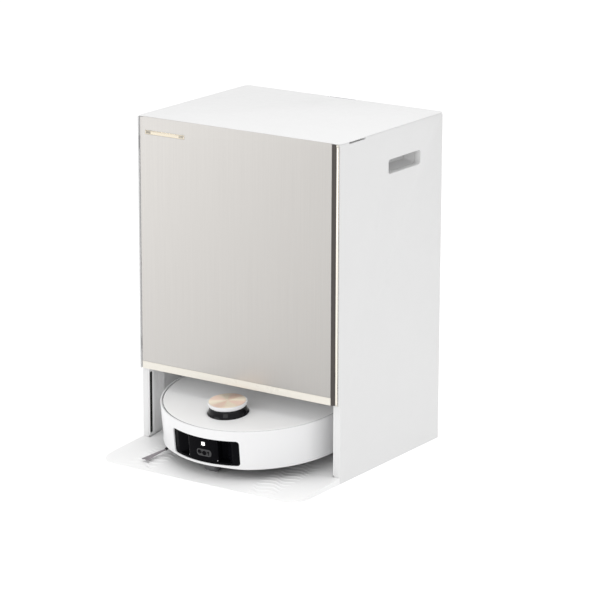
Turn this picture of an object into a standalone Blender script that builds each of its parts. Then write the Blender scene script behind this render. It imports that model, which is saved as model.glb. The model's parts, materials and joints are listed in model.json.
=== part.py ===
"""Robot vacuum docked in its tall self-washing base station.

Millimetre values are turned into metres by the functions that build meshes.
Frame: +Z up, the front faces -Y, +X to the right, origin under the middle of the bounding box.
The robot is drawn level in its own frame and hangs from the empty "robot_frame", which puts it
nose down on the sloping tray.
"""

import math

import bmesh
import bpy
from mathutils import Matrix, Vector

MM = 0.001
GAP = 0.3

# Station, in millimetres
HALF_WIDTH = 214.0
HEIGHT = 606.5
BODY_DEPTH = 330.0
RAMP_LENGTH = 134.0
BACK_Y = (BODY_DEPTH + RAMP_LENGTH) / 2
FRONT_Y = -BACK_Y
POST_Y = FRONT_Y + RAMP_LENGTH
DOOR_Y = POST_Y - 6.4
WALL = 12.5
DOOR_SIDE_WALL = 1.8
BACK_WALL = 4.0
LID_THICK = 3.2
LID_EDGE = 1.2
LID_SEAM_Z = HEIGHT - LID_EDGE - GAP
SHELL_FOOT_Z = 1.5
TRAY_FOOT_Z = 1.0
CORNER_RADIUS = 8.0
RAMP_CORNER = 32.0
INNER_X = HALF_WIDTH - WALL
INNER_BACK_Y = BACK_Y - BACK_WALL

# Door
DOOR_BOTTOM_Z = 143.4
DOOR_TRIM_TOP_Z = 156.8
DOOR_LEFT_X = -211.2
DOOR_RIGHT_X = 211.3
SKIN_LEFT_X = -208.2
SKIN_RIGHT_X = 197.2
SKIN_THICK = 1.2
DOOR_BACK_Y = POST_Y + 5.0
HINGE_X = -207.0
HINGE_Y = -99.6
HINGE_HEIGHTS = {"door_hinge_lower": 188.0, "door_hinge_upper": 558.0}
RAIL_X = 208.2
RAIL_RADIUS = 3.0

# Lid hinge
LID_HINGE_Y = 229.5
LID_HINGE_Z = 604.9

# Inside the station
FASCIA_Y = DOOR_BACK_Y + 2.5
CEILING_Z = 152.0
SHELF_Z = 400.0
BAY_BACK_Y = 158.0
TANK_X = (4.0, 168.0)
TANK_Y = (-78.0, 108.0)
TANK_Z = (SHELF_Z + 4.0 + GAP, 588.0)
CUP_Y = (49.0, 153.0)
CUP_Z = (526.0, 552.0)

# Robot, in its own level frame: origin on the wheels' contact plane under its middle
TILT = math.radians(6.3)
ROBOT_Y = -29.5
ROBOT_Z = 25.0
ROBOT_RADIUS = 175.5
SIDE_BOTTOM = 18.2
ROBOT_TOP = 90.2
COVER_RADIUS = 169.8
CHASSIS_RADIUS = 168.0
CHASSIS_BOTTOM = 12.0
BUMPER_SPLIT_Y = 4.0
WINDOW_ANGLE = math.radians(24.3)
WINDOW_TURN = math.radians(-1.2)
WINDOW_Z = (25.0, 71.5)
TURRET_Y = -93.0
TURRET_TOP = 112.0
WHEEL_X = 118.0
WHEEL_RADIUS = 35.0
WHEEL_WIDTH = 26.0
BRUSH_AT = (-118.0, -102.0)
BRUSH_REACH = 76.0
ROLLER_Y = -18.0
ROLLER_Z = 24.0
ROLLER_RADIUS = 19.0
CASTER_Y = -149.0
CASTER_SWIVEL_Y = -145.0
CASTER_RADIUS = 11.5
CASTER_WIDTH = 27.0
MOP_AT = (78.0, 98.0)
MOP_RADIUS = 70.0
MOP_Z = (4.5, 11.5)

WHITE = (0.86, 0.86, 0.85, 1.0)
GREY = (0.55, 0.55, 0.55, 1.0)
DARK = (0.05, 0.05, 0.055, 1.0)
BLACK = (0.012, 0.012, 0.014, 1.0)
IVORY = (0.83, 0.79, 0.71, 1.0)
CHAMPAGNE = (0.55, 0.51, 0.45, 1.0)
GOLD = (0.85, 0.68, 0.45, 1.0)
ROSE_GOLD = (0.88, 0.66, 0.52, 1.0)
RUBBER = (0.03, 0.03, 0.03, 1.0)
CLEAR_GREY = (0.42, 0.45, 0.48, 1.0)


def new_collection(name):
    found = bpy.data.collections.new(name)
    bpy.context.scene.collection.children.link(found)
    return found


for old in list(bpy.data.objects):
    bpy.data.objects.remove(old, do_unlink=True)

PARTS = new_collection("robot_vacuum_and_station")
CUTTERS = new_collection("cutters")


def material(name, colour, roughness, metallic=0.0):
    made = bpy.data.materials.new(name)
    made.use_nodes = True
    shader = made.node_tree.nodes["Principled BSDF"]
    shader.inputs["Base Color"].default_value = colour
    shader.inputs["Roughness"].default_value = roughness
    shader.inputs["Metallic"].default_value = metallic
    return made


def add_object(name, mesh, parent=None):
    """Links a mesh as a part. Its vertices are already metres in its parent's frame."""
    obj = bpy.data.objects.new(name, mesh)
    PARTS.objects.link(obj)
    obj.parent = parent
    return obj


def finish(obj, colour, roughness, metallic=0.0, origin=None):
    """Gives a part its material and smooth shading, and puts its origin at a point on its axis."""
    obj.data.materials.append(material(obj.name, colour, roughness, metallic))
    if origin is not None:
        move_origin(obj, origin)
    obj.data.shade_smooth()
    obj.data.set_sharp_from_angle(angle=math.radians(35))
    return obj


def move_origin(obj, origin):
    """Moves the origin to a point in millimetres in the parent's frame, and the shape stays put."""
    point = Vector(origin) * MM
    obj.data.transform(Matrix.Translation(-point))
    obj.location = point


def box(name, low, high, parent=None, bevel=0.0, segments=1, edges="all"):
    """A box between two corners in millimetres; bevel rounds all its edges or only the upright ones."""
    low = Vector(low) * MM
    high = Vector(high) * MM
    shape = bmesh.new()
    size = high - low
    bmesh.ops.create_cube(shape, size=1.0)
    bmesh.ops.scale(shape, vec=size, verts=shape.verts)
    bmesh.ops.translate(shape, vec=(low + high) / 2, verts=shape.verts)
    if bevel:
        chosen = shape.edges[:]
        if edges == "upright":
            chosen = [e for e in shape.edges if abs(e.verts[0].co.z - e.verts[1].co.z) > size.z / 2]
        bmesh.ops.bevel(
            shape, geom=chosen, offset=bevel * MM, segments=segments, profile=0.5, affect="EDGES"
        )
    return add_object(name, mesh_of(name, shape), parent)


def rod(name, radius, start, end, parent=None, sides=24):
    """A cylinder from one point to another, in millimetres."""
    start = Vector(start) * MM
    end = Vector(end) * MM
    along = end - start
    shape = bmesh.new()
    bmesh.ops.create_cone(
        shape,
        cap_ends=True,
        segments=sides,
        radius1=radius * MM,
        radius2=radius * MM,
        depth=along.length,
    )
    turn = Vector((0, 0, 1)).rotation_difference(along).to_matrix().to_4x4()
    shape.transform(Matrix.Translation((start + end) / 2) @ turn)
    return add_object(name, mesh_of(name, shape), parent)


def mesh_of(name, shape):
    mesh = bpy.data.meshes.new(name)
    shape.to_mesh(mesh)
    shape.free()
    return mesh


def turned(name, profile, parent=None, steps=48, centre=(0.0, 0.0)):
    """A turned shape: (radius, height) points in millimetres, from the axis or the inside over the
    top and down the outer side, spun about the upright line through centre."""
    mesh = bpy.data.meshes.new(name)
    points = [(r * MM, 0.0, z * MM) for r, z in profile]
    links = [(i, i + 1) for i in range(len(points) - 1)]
    if profile[0][0] > 0:
        links.append((len(points) - 1, 0))
    mesh.from_pydata(points, links, [])
    obj = add_object(name, mesh, parent)
    obj.location = (centre[0] * MM, centre[1] * MM, 0.0)
    screw = obj.modifiers.new("turn", "SCREW")
    screw.steps = steps
    screw.render_steps = steps
    screw.use_merge_vertices = True
    screw.merge_threshold = 0.00001
    return obj


def outline(name, points, bottom, top, parent=None):
    """A flat outline in XY, in millimetres, given thickness between two heights."""
    curve = bpy.data.curves.new(name, "CURVE")
    curve.dimensions = "2D"
    curve.fill_mode = "BOTH"
    curve.extrude = (top - bottom) / 2 * MM
    spline = curve.splines.new("POLY")
    spline.points.add(len(points) - 1)
    for knot, (x, y) in zip(spline.points, points):
        knot.co = (x * MM, y * MM, 0.0, 1.0)
    spline.use_cyclic_u = True
    obj = bpy.data.objects.new(name, curve)
    PARTS.objects.link(obj)
    obj.location = (0.0, 0.0, (bottom + top) / 2 * MM)
    return to_mesh(obj, name, parent)


def to_mesh(obj, name, parent=None):
    """Makes a curve object a mesh object with its caps welded, in its parent's frame."""
    bpy.context.view_layer.update()
    graph = bpy.context.evaluated_depsgraph_get()
    mesh = bpy.data.meshes.new_from_object(obj.evaluated_get(graph))
    mesh.transform(obj.matrix_world)
    bpy.data.objects.remove(obj, do_unlink=True)
    shape = bmesh.new()
    shape.from_mesh(mesh)
    bmesh.ops.remove_doubles(shape, verts=shape.verts, dist=0.00001)
    bmesh.ops.recalc_face_normals(shape, faces=shape.faces)
    bpy.data.meshes.remove(mesh)
    return add_object(name, mesh_of(name, shape), parent)


def combine(target, other, operation):
    """Adds an exact Boolean, and puts the other object away as a cutter."""
    step = target.modifiers.new(operation.lower(), "BOOLEAN")
    step.operation = operation
    step.solver = "EXACT"
    step.object = other
    PARTS.objects.unlink(other)
    CUTTERS.objects.link(other)
    other.hide_render = True
    other.display_type = "WIRE"
    return target


def cut(target, *others):
    for other in others:
        combine(target, other, "DIFFERENCE")
    return target


def join(target, *others):
    for other in others:
        combine(target, other, "UNION")
    return target


def keep_inside(target, other):
    return combine(target, other, "INTERSECT")


def mirrored_pair(make):
    """Calls make(side name, sign) for the left and the right side."""
    for name, sign in (("left", -1), ("right", 1)):
        make(name, sign)


def x_range(sign, near, far):
    """The two ends, lowest first, of a stretch of X on one side."""
    return tuple(sorted((sign * near, sign * far)))


# ---------------------------------------------------------------- station: base


def tray_plan():
    """The tray from above: full width in front of the posts, narrow between the walls."""
    narrow = INNER_X - 4.0
    front = POST_Y - 2 * GAP
    points = [(narrow, INNER_BACK_Y - 0.6), (narrow, front), (HALF_WIDTH, front)]
    for i in range(7):
        angle = -i * math.pi / 12
        points.append(
            (
                HALF_WIDTH - RAMP_CORNER + RAMP_CORNER * math.cos(angle),
                FRONT_Y + RAMP_CORNER + RAMP_CORNER * math.sin(angle),
            )
        )
    return points + [(-x, y) for x, y in reversed(points)]


def ground_z(y):
    """Height of the robot's contact plane over a point of the station's Y."""
    return ROBOT_Z + (y - ROBOT_Y) * math.tan(TILT)


def tray_profile():
    """The tray from the side, as (y, z): a thin lip, the ramp, then parallel to the robot, and a
    low shelf behind the bay's back panel."""
    bay_end = BAY_BACK_Y - 2 * GAP
    return [
        (FRONT_Y - 5, 2.4 - 0.56),
        (FRONT_Y + 50, 8.0),
        (POST_Y, 12.5),
        (-68.0, 16.5),
        (-34.0, ground_z(-34.0) - 0.6),
        (bay_end, ground_z(bay_end) - 0.6),
        (bay_end, 11.0),
        (BACK_Y, 11.0),
        (BACK_Y, TRAY_FOOT_Z),
        (FRONT_Y - 5, TRAY_FOOT_Z),
    ]


def side_profile(name, points, half_width):
    """A (y, z) outline made into a bar across X."""
    bar = outline(name, [(y, z) for y, z in points], -half_width, half_width)
    turn = Matrix(((0, 0, 1, 0), (1, 0, 0, 0), (0, 1, 0, 0), (0, 0, 0, 1)))
    bar.data.transform(turn)
    return bar


def make_tray(robot):
    tray = outline("base_tray", tray_plan(), 0.0, 70.0)
    keep_inside(tray, side_profile("tray_side", tray_profile(), HALF_WIDTH + 5))
    cut(
        tray,
        box("tray_basin", (-155, 22, -12), (155, 172, 40), robot),
        box("tray_hollow_front", (-185, -85, -5), (185, 15, 8.5)),
        box("tray_hollow_rear", (-185, 25, -5), (185, 145, 10)),
    )
    for side, sign in (("left", -1), ("right", 1)):
        low, high = x_range(sign, 190.0, 200.0)
        cut(tray, box("foot_pocket_" + side, (low, -92, -5), (high, 150, 3)))
    finish(tray, WHITE, 0.45)


def make_feet(side, sign):
    low, high = x_range(sign, 190.5, 199.5)
    foot = box("foot_" + side, (low, -91.5, 0), (high, 149.5, 2.7))
    finish(foot, RUBBER, 0.8)


def make_wash_board(robot):
    board = box("wash_board", (-152, 24, -11.7), (152, 170, -3.0), robot, 6, 2, "upright")
    for index in range(6):
        y = 40 + index * 23
        join(board, box(f"board_rib_{index}", (-140, y - 2, -5), (140, y + 2, 0.3), robot))
    finish(board, GREY, 0.5)


# ---------------------------------------------------------------- station: cabinet


def make_shell():
    shell = box(
        "outer_shell",
        (-HALF_WIDTH, DOOR_Y, SHELL_FOOT_Z),
        (HALF_WIDTH, BACK_Y, LID_SEAM_Z),
        bevel=CORNER_RADIUS,
        segments=4,
        edges="upright",
    )
    far = HALF_WIDTH + 10
    recess_x = HALF_WIDTH - DOOR_SIDE_WALL
    cut(
        shell,
        box("cabinet_space", (-INNER_X, DOOR_Y - 20, -10), (INNER_X, INNER_BACK_Y, HEIGHT + 10)),
        box("door_space", (-recess_x, DOOR_Y - 20, DOOR_BOTTOM_Z - 1), (recess_x, FASCIA_Y, 620)),
        box("post_space", (-far, DOOR_Y - 10, -10), (far, POST_Y, DOOR_BOTTOM_Z - 1)),
        box("handle_space", (-far, CUP_Y[0], CUP_Z[0]), (far, CUP_Y[1], CUP_Z[1])),
        box("notch_space", (INNER_X - 5, -76, LID_SEAM_Z - 3), (far, -25, HEIGHT)),
        box("inlet_space", (-20.5, INNER_BACK_Y - 5, 59.5), (20.5, BACK_Y + 5, 90.5)),
        box("hinge_space", (-far, INNER_BACK_Y - 5, 601.8), (far, BACK_Y + 5, 620)),
    )
    finish(shell, WHITE, 0.35)


def make_handle_cup(side, sign):
    """The finger recess of a carrying handle: a cup behind the hole in the wall, deeper upwards."""
    low, high = x_range(sign, INNER_X - 27, INNER_X - GAP)
    wall = 2.0
    cup = box(
        "handle_cup_" + side,
        (low, CUP_Y[0] - wall, CUP_Z[0] - wall),
        (high, CUP_Y[1] + wall, CUP_Z[1] + 14),
    )
    low, high = x_range(sign, INNER_X - 27 + wall, INNER_X + 5)
    cut(cup, box("cup_space_" + side, (low, CUP_Y[0], CUP_Z[0]), (high, CUP_Y[1], CUP_Z[1] + 12)))
    finish(cup, WHITE, 0.4)


def make_liner(side, sign):
    """Bay side liner with the upright slot that its signal strip fills."""
    low, high = x_range(sign, INNER_X - 2.2, INNER_X - GAP)
    liner = box("liner_" + side, (low, POST_Y + 0.5, 15.5), (high, POST_Y + 47, DOOR_BOTTOM_Z - 1.5))
    low, high = x_range(sign, INNER_X - 10, INNER_X + 10)
    cut(liner, box("slot_space_" + side, (low, POST_Y + 3, 19), (high, POST_Y + 10.5, 135)))
    finish(liner, WHITE, 0.4)


def make_signal_strip(side, sign):
    low, high = x_range(sign, INNER_X - 2.0, INNER_X - 0.6)
    strip = box("signal_strip_" + side, (low, POST_Y + 3.3, 19.3), (high, POST_Y + 10.2, 134.7))
    finish(strip, BLACK, 0.15)


def make_bay_back():
    panel = box(
        "bay_back_panel",
        (-INNER_X + 0.6, BAY_BACK_Y, 12),
        (INNER_X - 0.6, BAY_BACK_Y + 3, CEILING_Z - GAP),
    )
    cut(panel, rod("dust_port", 24, (0, BAY_BACK_Y - 10, 110), (0, BAY_BACK_Y + 10, 110)))
    finish(panel, GREY, 0.5)


def make_contact(side, sign):
    low, high = x_range(sign, 30.0, 50.0)
    pad = box("charge_contact_" + side, (low, 140.2, 69), (high, BAY_BACK_Y - GAP, 81), bevel=1.5)
    finish(pad, GOLD, 0.25, 1.0)


def make_panels():
    """Bay ceiling, tank shelf and the fascia behind the door."""
    depth = (FASCIA_Y, INNER_BACK_Y - GAP)
    across = INNER_X - GAP
    ceiling = box("bay_ceiling", (-across, depth[0], CEILING_Z), (across, depth[1], CEILING_Z + 4))
    finish(ceiling, GREY, 0.5)
    inner_y = FASCIA_Y + 3 + GAP
    shelf = box("tank_shelf", (-across, inner_y, SHELF_Z), (across, depth[1], SHELF_Z + 4))
    finish(shelf, GREY, 0.5)
    fascia = box(
        "front_fascia",
        (-across, FASCIA_Y, CEILING_Z + 4 + GAP),
        (across, FASCIA_Y + 3, 597),
    )
    cut(fascia, box("fascia_opening", (-186, FASCIA_Y - 5, 174), (186, FASCIA_Y + 10, 388)))
    finish(fascia, WHITE, 0.45)


def make_tank(name, sign, colour):
    low, high = x_range(sign, *TANK_X)
    wall = 3.0
    tank = box(name, (low, TANK_Y[0], TANK_Z[0]), (high, TANK_Y[1], TANK_Z[1]), None, 10, 3, "upright")
    hollow = box(
        name + "_space",
        (low + wall, TANK_Y[0] + wall, TANK_Z[0] + wall),
        (high - wall, TANK_Y[1] - wall, TANK_Z[1] + 20),
        None,
        7,
        3,
        "upright",
    )
    cut(tank, hollow)
    finish(tank, colour, 0.2)


def make_dust_system():
    holder = box("bag_holder", (-178, -82, 182), (-12, -78, 380), bevel=1.2)
    cut(holder, rod("bag_mouth", 24, (-95, -90, 300), (-95, -70, 300)))
    finish(holder, GREY, 0.5)
    bag = box("dust_bag", (-170, -77.7, 186), (-20, 60, 376), bevel=24, segments=3)
    finish(bag, (0.72, 0.70, 0.64, 1.0), 0.9)
    fan = turned("suction_fan", [(0, 262), (40, 262), (62, 240), (62, 160), (0, 160)], steps=32)
    fan.location = (-95 * MM, 140 * MM, 0.0)
    finish(fan, DARK, 0.4)


def make_station_insides():
    drying = box("drying_fan", (10, 140, 160), (90, 215, 235), bevel=6, segments=2)
    finish(drying, DARK, 0.5)
    pump = rod("water_pump", 24, (140, 165, 160), (140, 165, 250), sides=24)
    join(pump, rod("pump_outlet", 6, (140, 165, 240), (140, 165, 275), sides=12))
    finish(pump, GREY, 0.4)
    supply = box("power_supply", (90, -78, 160), (186, 40, 226), bevel=2)
    finish(supply, GREY, 0.35, 0.8)
    board = box("control_board", (20, 222, 270), (190, 224, 390))
    finish(board, (0.02, 0.16, 0.07, 1.0), 0.5)
    inlet = box("mains_inlet", (-20.2, INNER_BACK_Y - 14, 59.8), (20.2, BACK_Y, 90.2))
    cut(inlet, box("inlet_mouth", (-14, INNER_BACK_Y - 8, 66), (14, BACK_Y + 5, 84)))
    finish(inlet, DARK, 0.4)


# ---------------------------------------------------------------- station: door and lid


def make_door():
    hinge = (HINGE_X, HINGE_Y, (DOOR_BOTTOM_Z + LID_SEAM_Z) / 2)
    top = LID_SEAM_Z - 0.4
    skin_back = DOOR_Y + SKIN_THICK
    frame_y = skin_back + GAP
    frame = box("door_frame", (DOOR_LEFT_X, frame_y, DOOR_BOTTOM_Z), (DOOR_RIGHT_X, DOOR_BACK_Y, top))
    corner = box("door_corner", (-2, -2, 0), (2, 2, 520))
    corner.rotation_euler.z = math.radians(45)
    corner.location = (DOOR_LEFT_X * MM, frame_y * MM, (DOOR_BOTTOM_Z - 20) * MM)
    cut(
        frame,
        corner,
        box("rail_space", (SKIN_RIGHT_X + GAP, -120, 120), (DOOR_RIGHT_X + 5, -97.9, 640)),
        rod("hinge_bore", 1.6, (HINGE_X, HINGE_Y, 130), (HINGE_X, HINGE_Y, 620), sides=16),
    )
    for name, z in HINGE_HEIGHTS.items():
        notch = box(name + "_space", (DOOR_LEFT_X - 5, -102.0, z - 12), (-196, -80, z + 12))
        cut(frame, notch)
    finish(frame, WHITE, 0.4, origin=hinge)
    skin = box(
        "door_skin",
        (SKIN_LEFT_X, DOOR_Y, DOOR_TRIM_TOP_Z + GAP),
        (SKIN_RIGHT_X, skin_back, HEIGHT - 0.4),
    )
    finish(skin, CHAMPAGNE, 0.35, 0.9, hinge)
    trim = box(
        "door_trim",
        (SKIN_LEFT_X, DOOR_Y, DOOR_BOTTOM_Z),
        (SKIN_RIGHT_X, skin_back, DOOR_TRIM_TOP_Z),
    )
    finish(trim, IVORY, 0.3, 0.2, hinge)
    cut(
        skin,
        box("badge_space", (-197.3, -120, 574.7), (-111.7, -95, 582.3)),
        box("swing_space", (-215, -120, top), (HINGE_X + 5, -95, 620)),
    )
    badge = box("door_badge", (-197, DOOR_Y, 575), (-112, skin_back, 582))
    finish(badge, GOLD, 0.3, 0.8, hinge)
    rail_y = DOOR_Y + RAIL_RADIUS + 0.1
    rail = rod("door_rail", RAIL_RADIUS, (RAIL_X, rail_y, DOOR_BOTTOM_Z), (RAIL_X, rail_y, top))
    finish(rail, GOLD, 0.15, 1.0, hinge)


def make_door_hinge(name, z):
    """A fixed knuckle arm with its pin, which stands in the door's bore."""
    arm = box(name, (HINGE_X, HINGE_Y, z - 8), (HINGE_X + 3, FASCIA_Y - GAP, z + 8))
    join(
        arm,
        rod(name + "_knuckle", 2.0, (HINGE_X, HINGE_Y, z - 8), (HINGE_X, HINGE_Y, z + 8), sides=16),
        rod(name + "_pin", 1.3, (HINGE_X, HINGE_Y, z - 20), (HINGE_X, HINGE_Y, z + 20), sides=16),
    )
    finish(arm, GREY, 0.3, 0.9)


def make_lid():
    axis = (0, LID_HINGE_Y, LID_HINGE_Z)
    rear = LID_HINGE_Y + LID_THICK / 2
    bottom = HEIGHT - LID_THICK
    front = DOOR_Y + SKIN_THICK + 0.6
    lid = box("top_lid", (-HALF_WIDTH, front, bottom), (HALF_WIDTH, rear, HEIGHT), None, 6, 3, "upright")
    join(lid, box("lid_stiffener", (-196, -84, 598), (196, 214, bottom + 1)))
    pin_reach = 52
    edge_z = HEIGHT - LID_EDGE
    side_x = INNER_X - 1.5
    cut(
        lid,
        box("lid_edge_front", (-230, front - 10, 590), (230, DOOR_BACK_Y + 1, edge_z)),
        box("lid_edge_left", (-230, front - 10, 590), (-side_x, rear + 10, edge_z)),
        box("lid_edge_right", (side_x, front - 10, 590), (230, rear + 10, edge_z)),
        box("lid_hinge_notch", (-31, 225.5, 590), (31, 240, 620)),
        rod(
            "lid_bore",
            1.05,
            (-pin_reach, LID_HINGE_Y, LID_HINGE_Z),
            (pin_reach, LID_HINGE_Y, LID_HINGE_Z),
            sides=12,
        ),
    )
    finish(lid, WHITE, 0.3, origin=axis)
    leaf = box("lid_hinge", (-28, 224.4, 585), (28, INNER_BACK_Y - GAP, 603.0), bevel=0.5)
    join(
        leaf,
        box("leaf_top", (-28, 226, 602.2), (28, LID_HINGE_Y, 604.2)),
        rod("leaf_knuckle", 1.5, (-28, LID_HINGE_Y, LID_HINGE_Z), (28, LID_HINGE_Y, LID_HINGE_Z), sides=16),
        rod("leaf_pin", 0.8, (-50, LID_HINGE_Y, LID_HINGE_Z), (50, LID_HINGE_Y, LID_HINGE_Z), sides=12),
    )
    finish(leaf, GREY, 0.3, 0.9)


# ---------------------------------------------------------------- robot


def make_robot_frame():
    frame = bpy.data.objects.new("robot_frame", None)
    PARTS.objects.link(frame)
    frame.location = (0.0, ROBOT_Y * MM, ROBOT_Z * MM)
    frame.rotation_euler.x = TILT
    return frame


def make_chassis(robot):
    wall = CHASSIS_RADIUS - 3
    floor = CHASSIS_BOTTOM + 3
    foot = CHASSIS_RADIUS - 20
    chassis = turned(
        "chassis",
        [
            (0, floor),
            (foot - 1, floor),
            (wall, 25),
            (wall, 84),
            (CHASSIS_RADIUS, 84),
            (CHASSIS_RADIUS, 23),
            (foot, CHASSIS_BOTTOM),
            (0, CHASSIS_BOTTOM),
        ],
        robot,
        64,
    )
    cut(
        chassis,
        box("roller_well", (-86, ROLLER_Y - 22, 0), (86, ROLLER_Y + 22, 50), robot),
        rod("caster_well", 24, (0, CASTER_SWIVEL_Y, -5), (0, CASTER_SWIVEL_Y, 45), robot),
        box("pocket_well", (-77, -190, 24), (77, -132, 79), robot),
        rod("brush_hole", 8, (*BRUSH_AT, 0), (*BRUSH_AT, 30), robot, 16),
    )
    mop_x, mop_y = MOP_AT
    for side, sign in (("left", -1), ("right", 1)):
        low, high = x_range(sign, 90, 134)
        cut(
            chassis,
            box("wheel_well_" + side, (low, -42, -5), (high, 42, 30), robot),
            rod("mop_hole_" + side, 9, (sign * mop_x, mop_y, 0), (sign * mop_x, mop_y, 30), robot, 16),
        )
    finish(chassis, DARK, 0.6)


def ring_profile(inner, outer, bottom, top):
    return [(inner, bottom), (inner, top), (outer, top), (outer, bottom)]


def make_side_shell(robot):
    ring = turned(
        "side_shell", ring_profile(ROBOT_RADIUS - 3.2, ROBOT_RADIUS, SIDE_BOTTOM, ROBOT_TOP), robot, 72
    )
    keep_inside(ring, box("rear_half", (-200, BUMPER_SPLIT_Y + 4, 0), (200, 200, 120), robot))
    finish(ring, WHITE, 0.3)


def window_wedge(name, angle, inner, outer, heights, robot):
    """A block with curved front and back, an angle to each side of the window's middle."""
    steps = 10
    points = []
    for radius, order in ((outer, range(steps + 1)), (inner, range(steps, -1, -1))):
        for i in order:
            a = angle * (2 * i / steps - 1) + WINDOW_TURN
            points.append((radius * math.sin(a), -radius * math.cos(a)))
    return outline(name, points, *heights, robot)


def make_bumper(robot):
    ring = turned(
        "bumper", ring_profile(ROBOT_RADIUS - 3.2, ROBOT_RADIUS, SIDE_BOTTOM, ROBOT_TOP), robot, 72
    )
    keep_inside(ring, box("front_half", (-200, -200, 0), (200, BUMPER_SPLIT_Y, 120), robot))
    cut(ring, window_wedge("window_space", WINDOW_ANGLE, 160, 190, WINDOW_Z, robot))
    finish(ring, WHITE, 0.3)
    outer = ROBOT_RADIUS - 3.2 - GAP - 0.1
    pocket = window_wedge("sensor_pocket", math.radians(25), 148, outer, (27.2, 75), robot)
    cut(pocket, box("pocket_hollow", (-63, -190, 31), (63, -152, 70), robot))
    finish(pocket, BLACK, 0.1)
    module = box("camera_module", (-25, -168, 33), (25, -152.3, 68), robot, 2, 2)
    finish(module, DARK, 0.15)


def make_top_cover(robot):
    cover = turned(
        "top_cover", [(0, ROBOT_TOP), (COVER_RADIUS, ROBOT_TOP), (COVER_RADIUS, 86.5), (0, 86.5)], robot, 72
    )
    cut(cover, rod("turret_hole", 39, (0, TURRET_Y, 70), (0, TURRET_Y, 120), robot, 40))
    finish(cover, WHITE, 0.3)


def make_turret(robot):
    axis = (0.0, TURRET_Y)
    window = turned(
        "lidar_window",
        [(33, 84.5), (33, 103.7), (35, 103.7), (36, 97), (38.5, 90.4), (38.5, 84.5)],
        robot,
        40,
        axis,
    )
    finish(window, BLACK, 0.08)
    cap = turned("lidar_cap", [(0, 110.7), (35, 110.7), (35, 104), (0, 104)], robot, 40, axis)
    finish(cap, WHITE, 0.3)
    disc = turned("cap_disc", [(0, TURRET_TOP), (32.8, TURRET_TOP), (32.8, 111), (0, 111)], robot, 40, axis)
    finish(disc, ROSE_GOLD, 0.25, 1.0)
    rotor = turned("lidar_rotor", [(0, 102), (28, 102), (28, 90), (0, 90)], robot, 32, axis)
    cut(rotor, box("rotor_eye", (-10, TURRET_Y - 40, 93), (10, TURRET_Y - 20, 99), robot))
    finish(rotor, DARK, 0.3)


def make_robot_insides(robot):
    dust_bin = box("dust_bin", (-62, 52, 28), (62, 132, 82), robot, 6, 2, "upright")
    cut(dust_bin, box("bin_space", (-60, 54, 30), (60, 130, 90), robot, 4, 2, "upright"))
    finish(dust_bin, CLEAR_GREY, 0.2)
    battery = box("battery", (-70, 8, 20), (70, 46, 60), robot, bevel=2)
    finish(battery, DARK, 0.5)
    fan = rod("vacuum_fan", 25, (58, -96, 18), (58, -96, 70), robot, 24)
    finish(fan, DARK, 0.4)


def make_drive(robot, side, sign):
    """Gearbox arm, sprung about its front pivot, and the wheel on it."""
    low, high = x_range(sign, 91, 103.5)
    unit = box("drive_unit_" + side, (low, -38, 16), (high, 26, 58), robot, 4, 2)
    finish(unit, DARK, 0.5, origin=(sign * 97, -32, 40))
    half = WHEEL_WIDTH / 2
    wheel = rod(
        "wheel_" + side,
        WHEEL_RADIUS,
        (sign * WHEEL_X - half, 0, WHEEL_RADIUS),
        (sign * WHEEL_X + half, 0, WHEEL_RADIUS),
        robot,
        36,
    )
    finish(wheel, RUBBER, 0.8, origin=(sign * WHEEL_X, 0, WHEEL_RADIUS))


def make_brushes(robot):
    x, y = BRUSH_AT
    brush = rod("side_brush", 14, (x, y, 4), (x, y, 11.4), robot, 24)
    join(brush, rod("brush_shaft", 5, (x, y, 10), (x, y, 22), robot, 16))
    lead = math.atan2(-76, -7)
    for index in range(2):
        arm = box(f"brush_arm_{index}", (5, -4, 4.6), (BRUSH_REACH, 4, 7.4), robot)
        arm.location = (x * MM, y * MM, 0)
        arm.rotation_euler.z = lead + index * math.pi
        join(brush, arm)
    finish(brush, GREY, 0.8, origin=(x, y, 8))
    centre = (0, ROLLER_Y, ROLLER_Z)
    roller = rod("main_brush", ROLLER_RADIUS, (-80, *centre[1:]), (80, *centre[1:]), robot, 24)
    join(roller, rod("roller_axle", 4, (-85, *centre[1:]), (85, *centre[1:]), robot, 12))
    finish(roller, DARK, 0.7, origin=centre)


def make_caster(robot):
    swivel = (0, CASTER_SWIVEL_Y)
    fork = rod("caster_fork", 20, (*swivel, 23.6), (*swivel, 26.4), robot, 28)
    half = CASTER_WIDTH / 2
    for side, sign in (("left", -1), ("right", 1)):
        low, high = x_range(sign, half + 0.5, half + 3.5)
        join(fork, box("fork_leg_" + side, (low, CASTER_Y - 4, 8), (high, CASTER_Y + 8, 24.5), robot))
    finish(fork, DARK, 0.5, origin=(*swivel, 24))
    hub = (CASTER_Y, CASTER_RADIUS)
    wheel = rod("caster_wheel", CASTER_RADIUS, (-half, *hub), (half, *hub), robot)
    finish(wheel, BLACK, 0.4, origin=(0, *hub))


def make_mop(robot, side, sign):
    bottom, top = MOP_Z
    profile = [
        (0, 20),
        (6, 20),
        (6, top),
        (MOP_RADIUS - 3, top),
        (MOP_RADIUS, top - 3),
        (MOP_RADIUS, bottom),
        (0, bottom),
    ]
    pad = turned("mop_" + side, profile, robot, 40, (sign * MOP_AT[0], MOP_AT[1]))
    finish(pad, GREY, 0.9)


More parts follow.
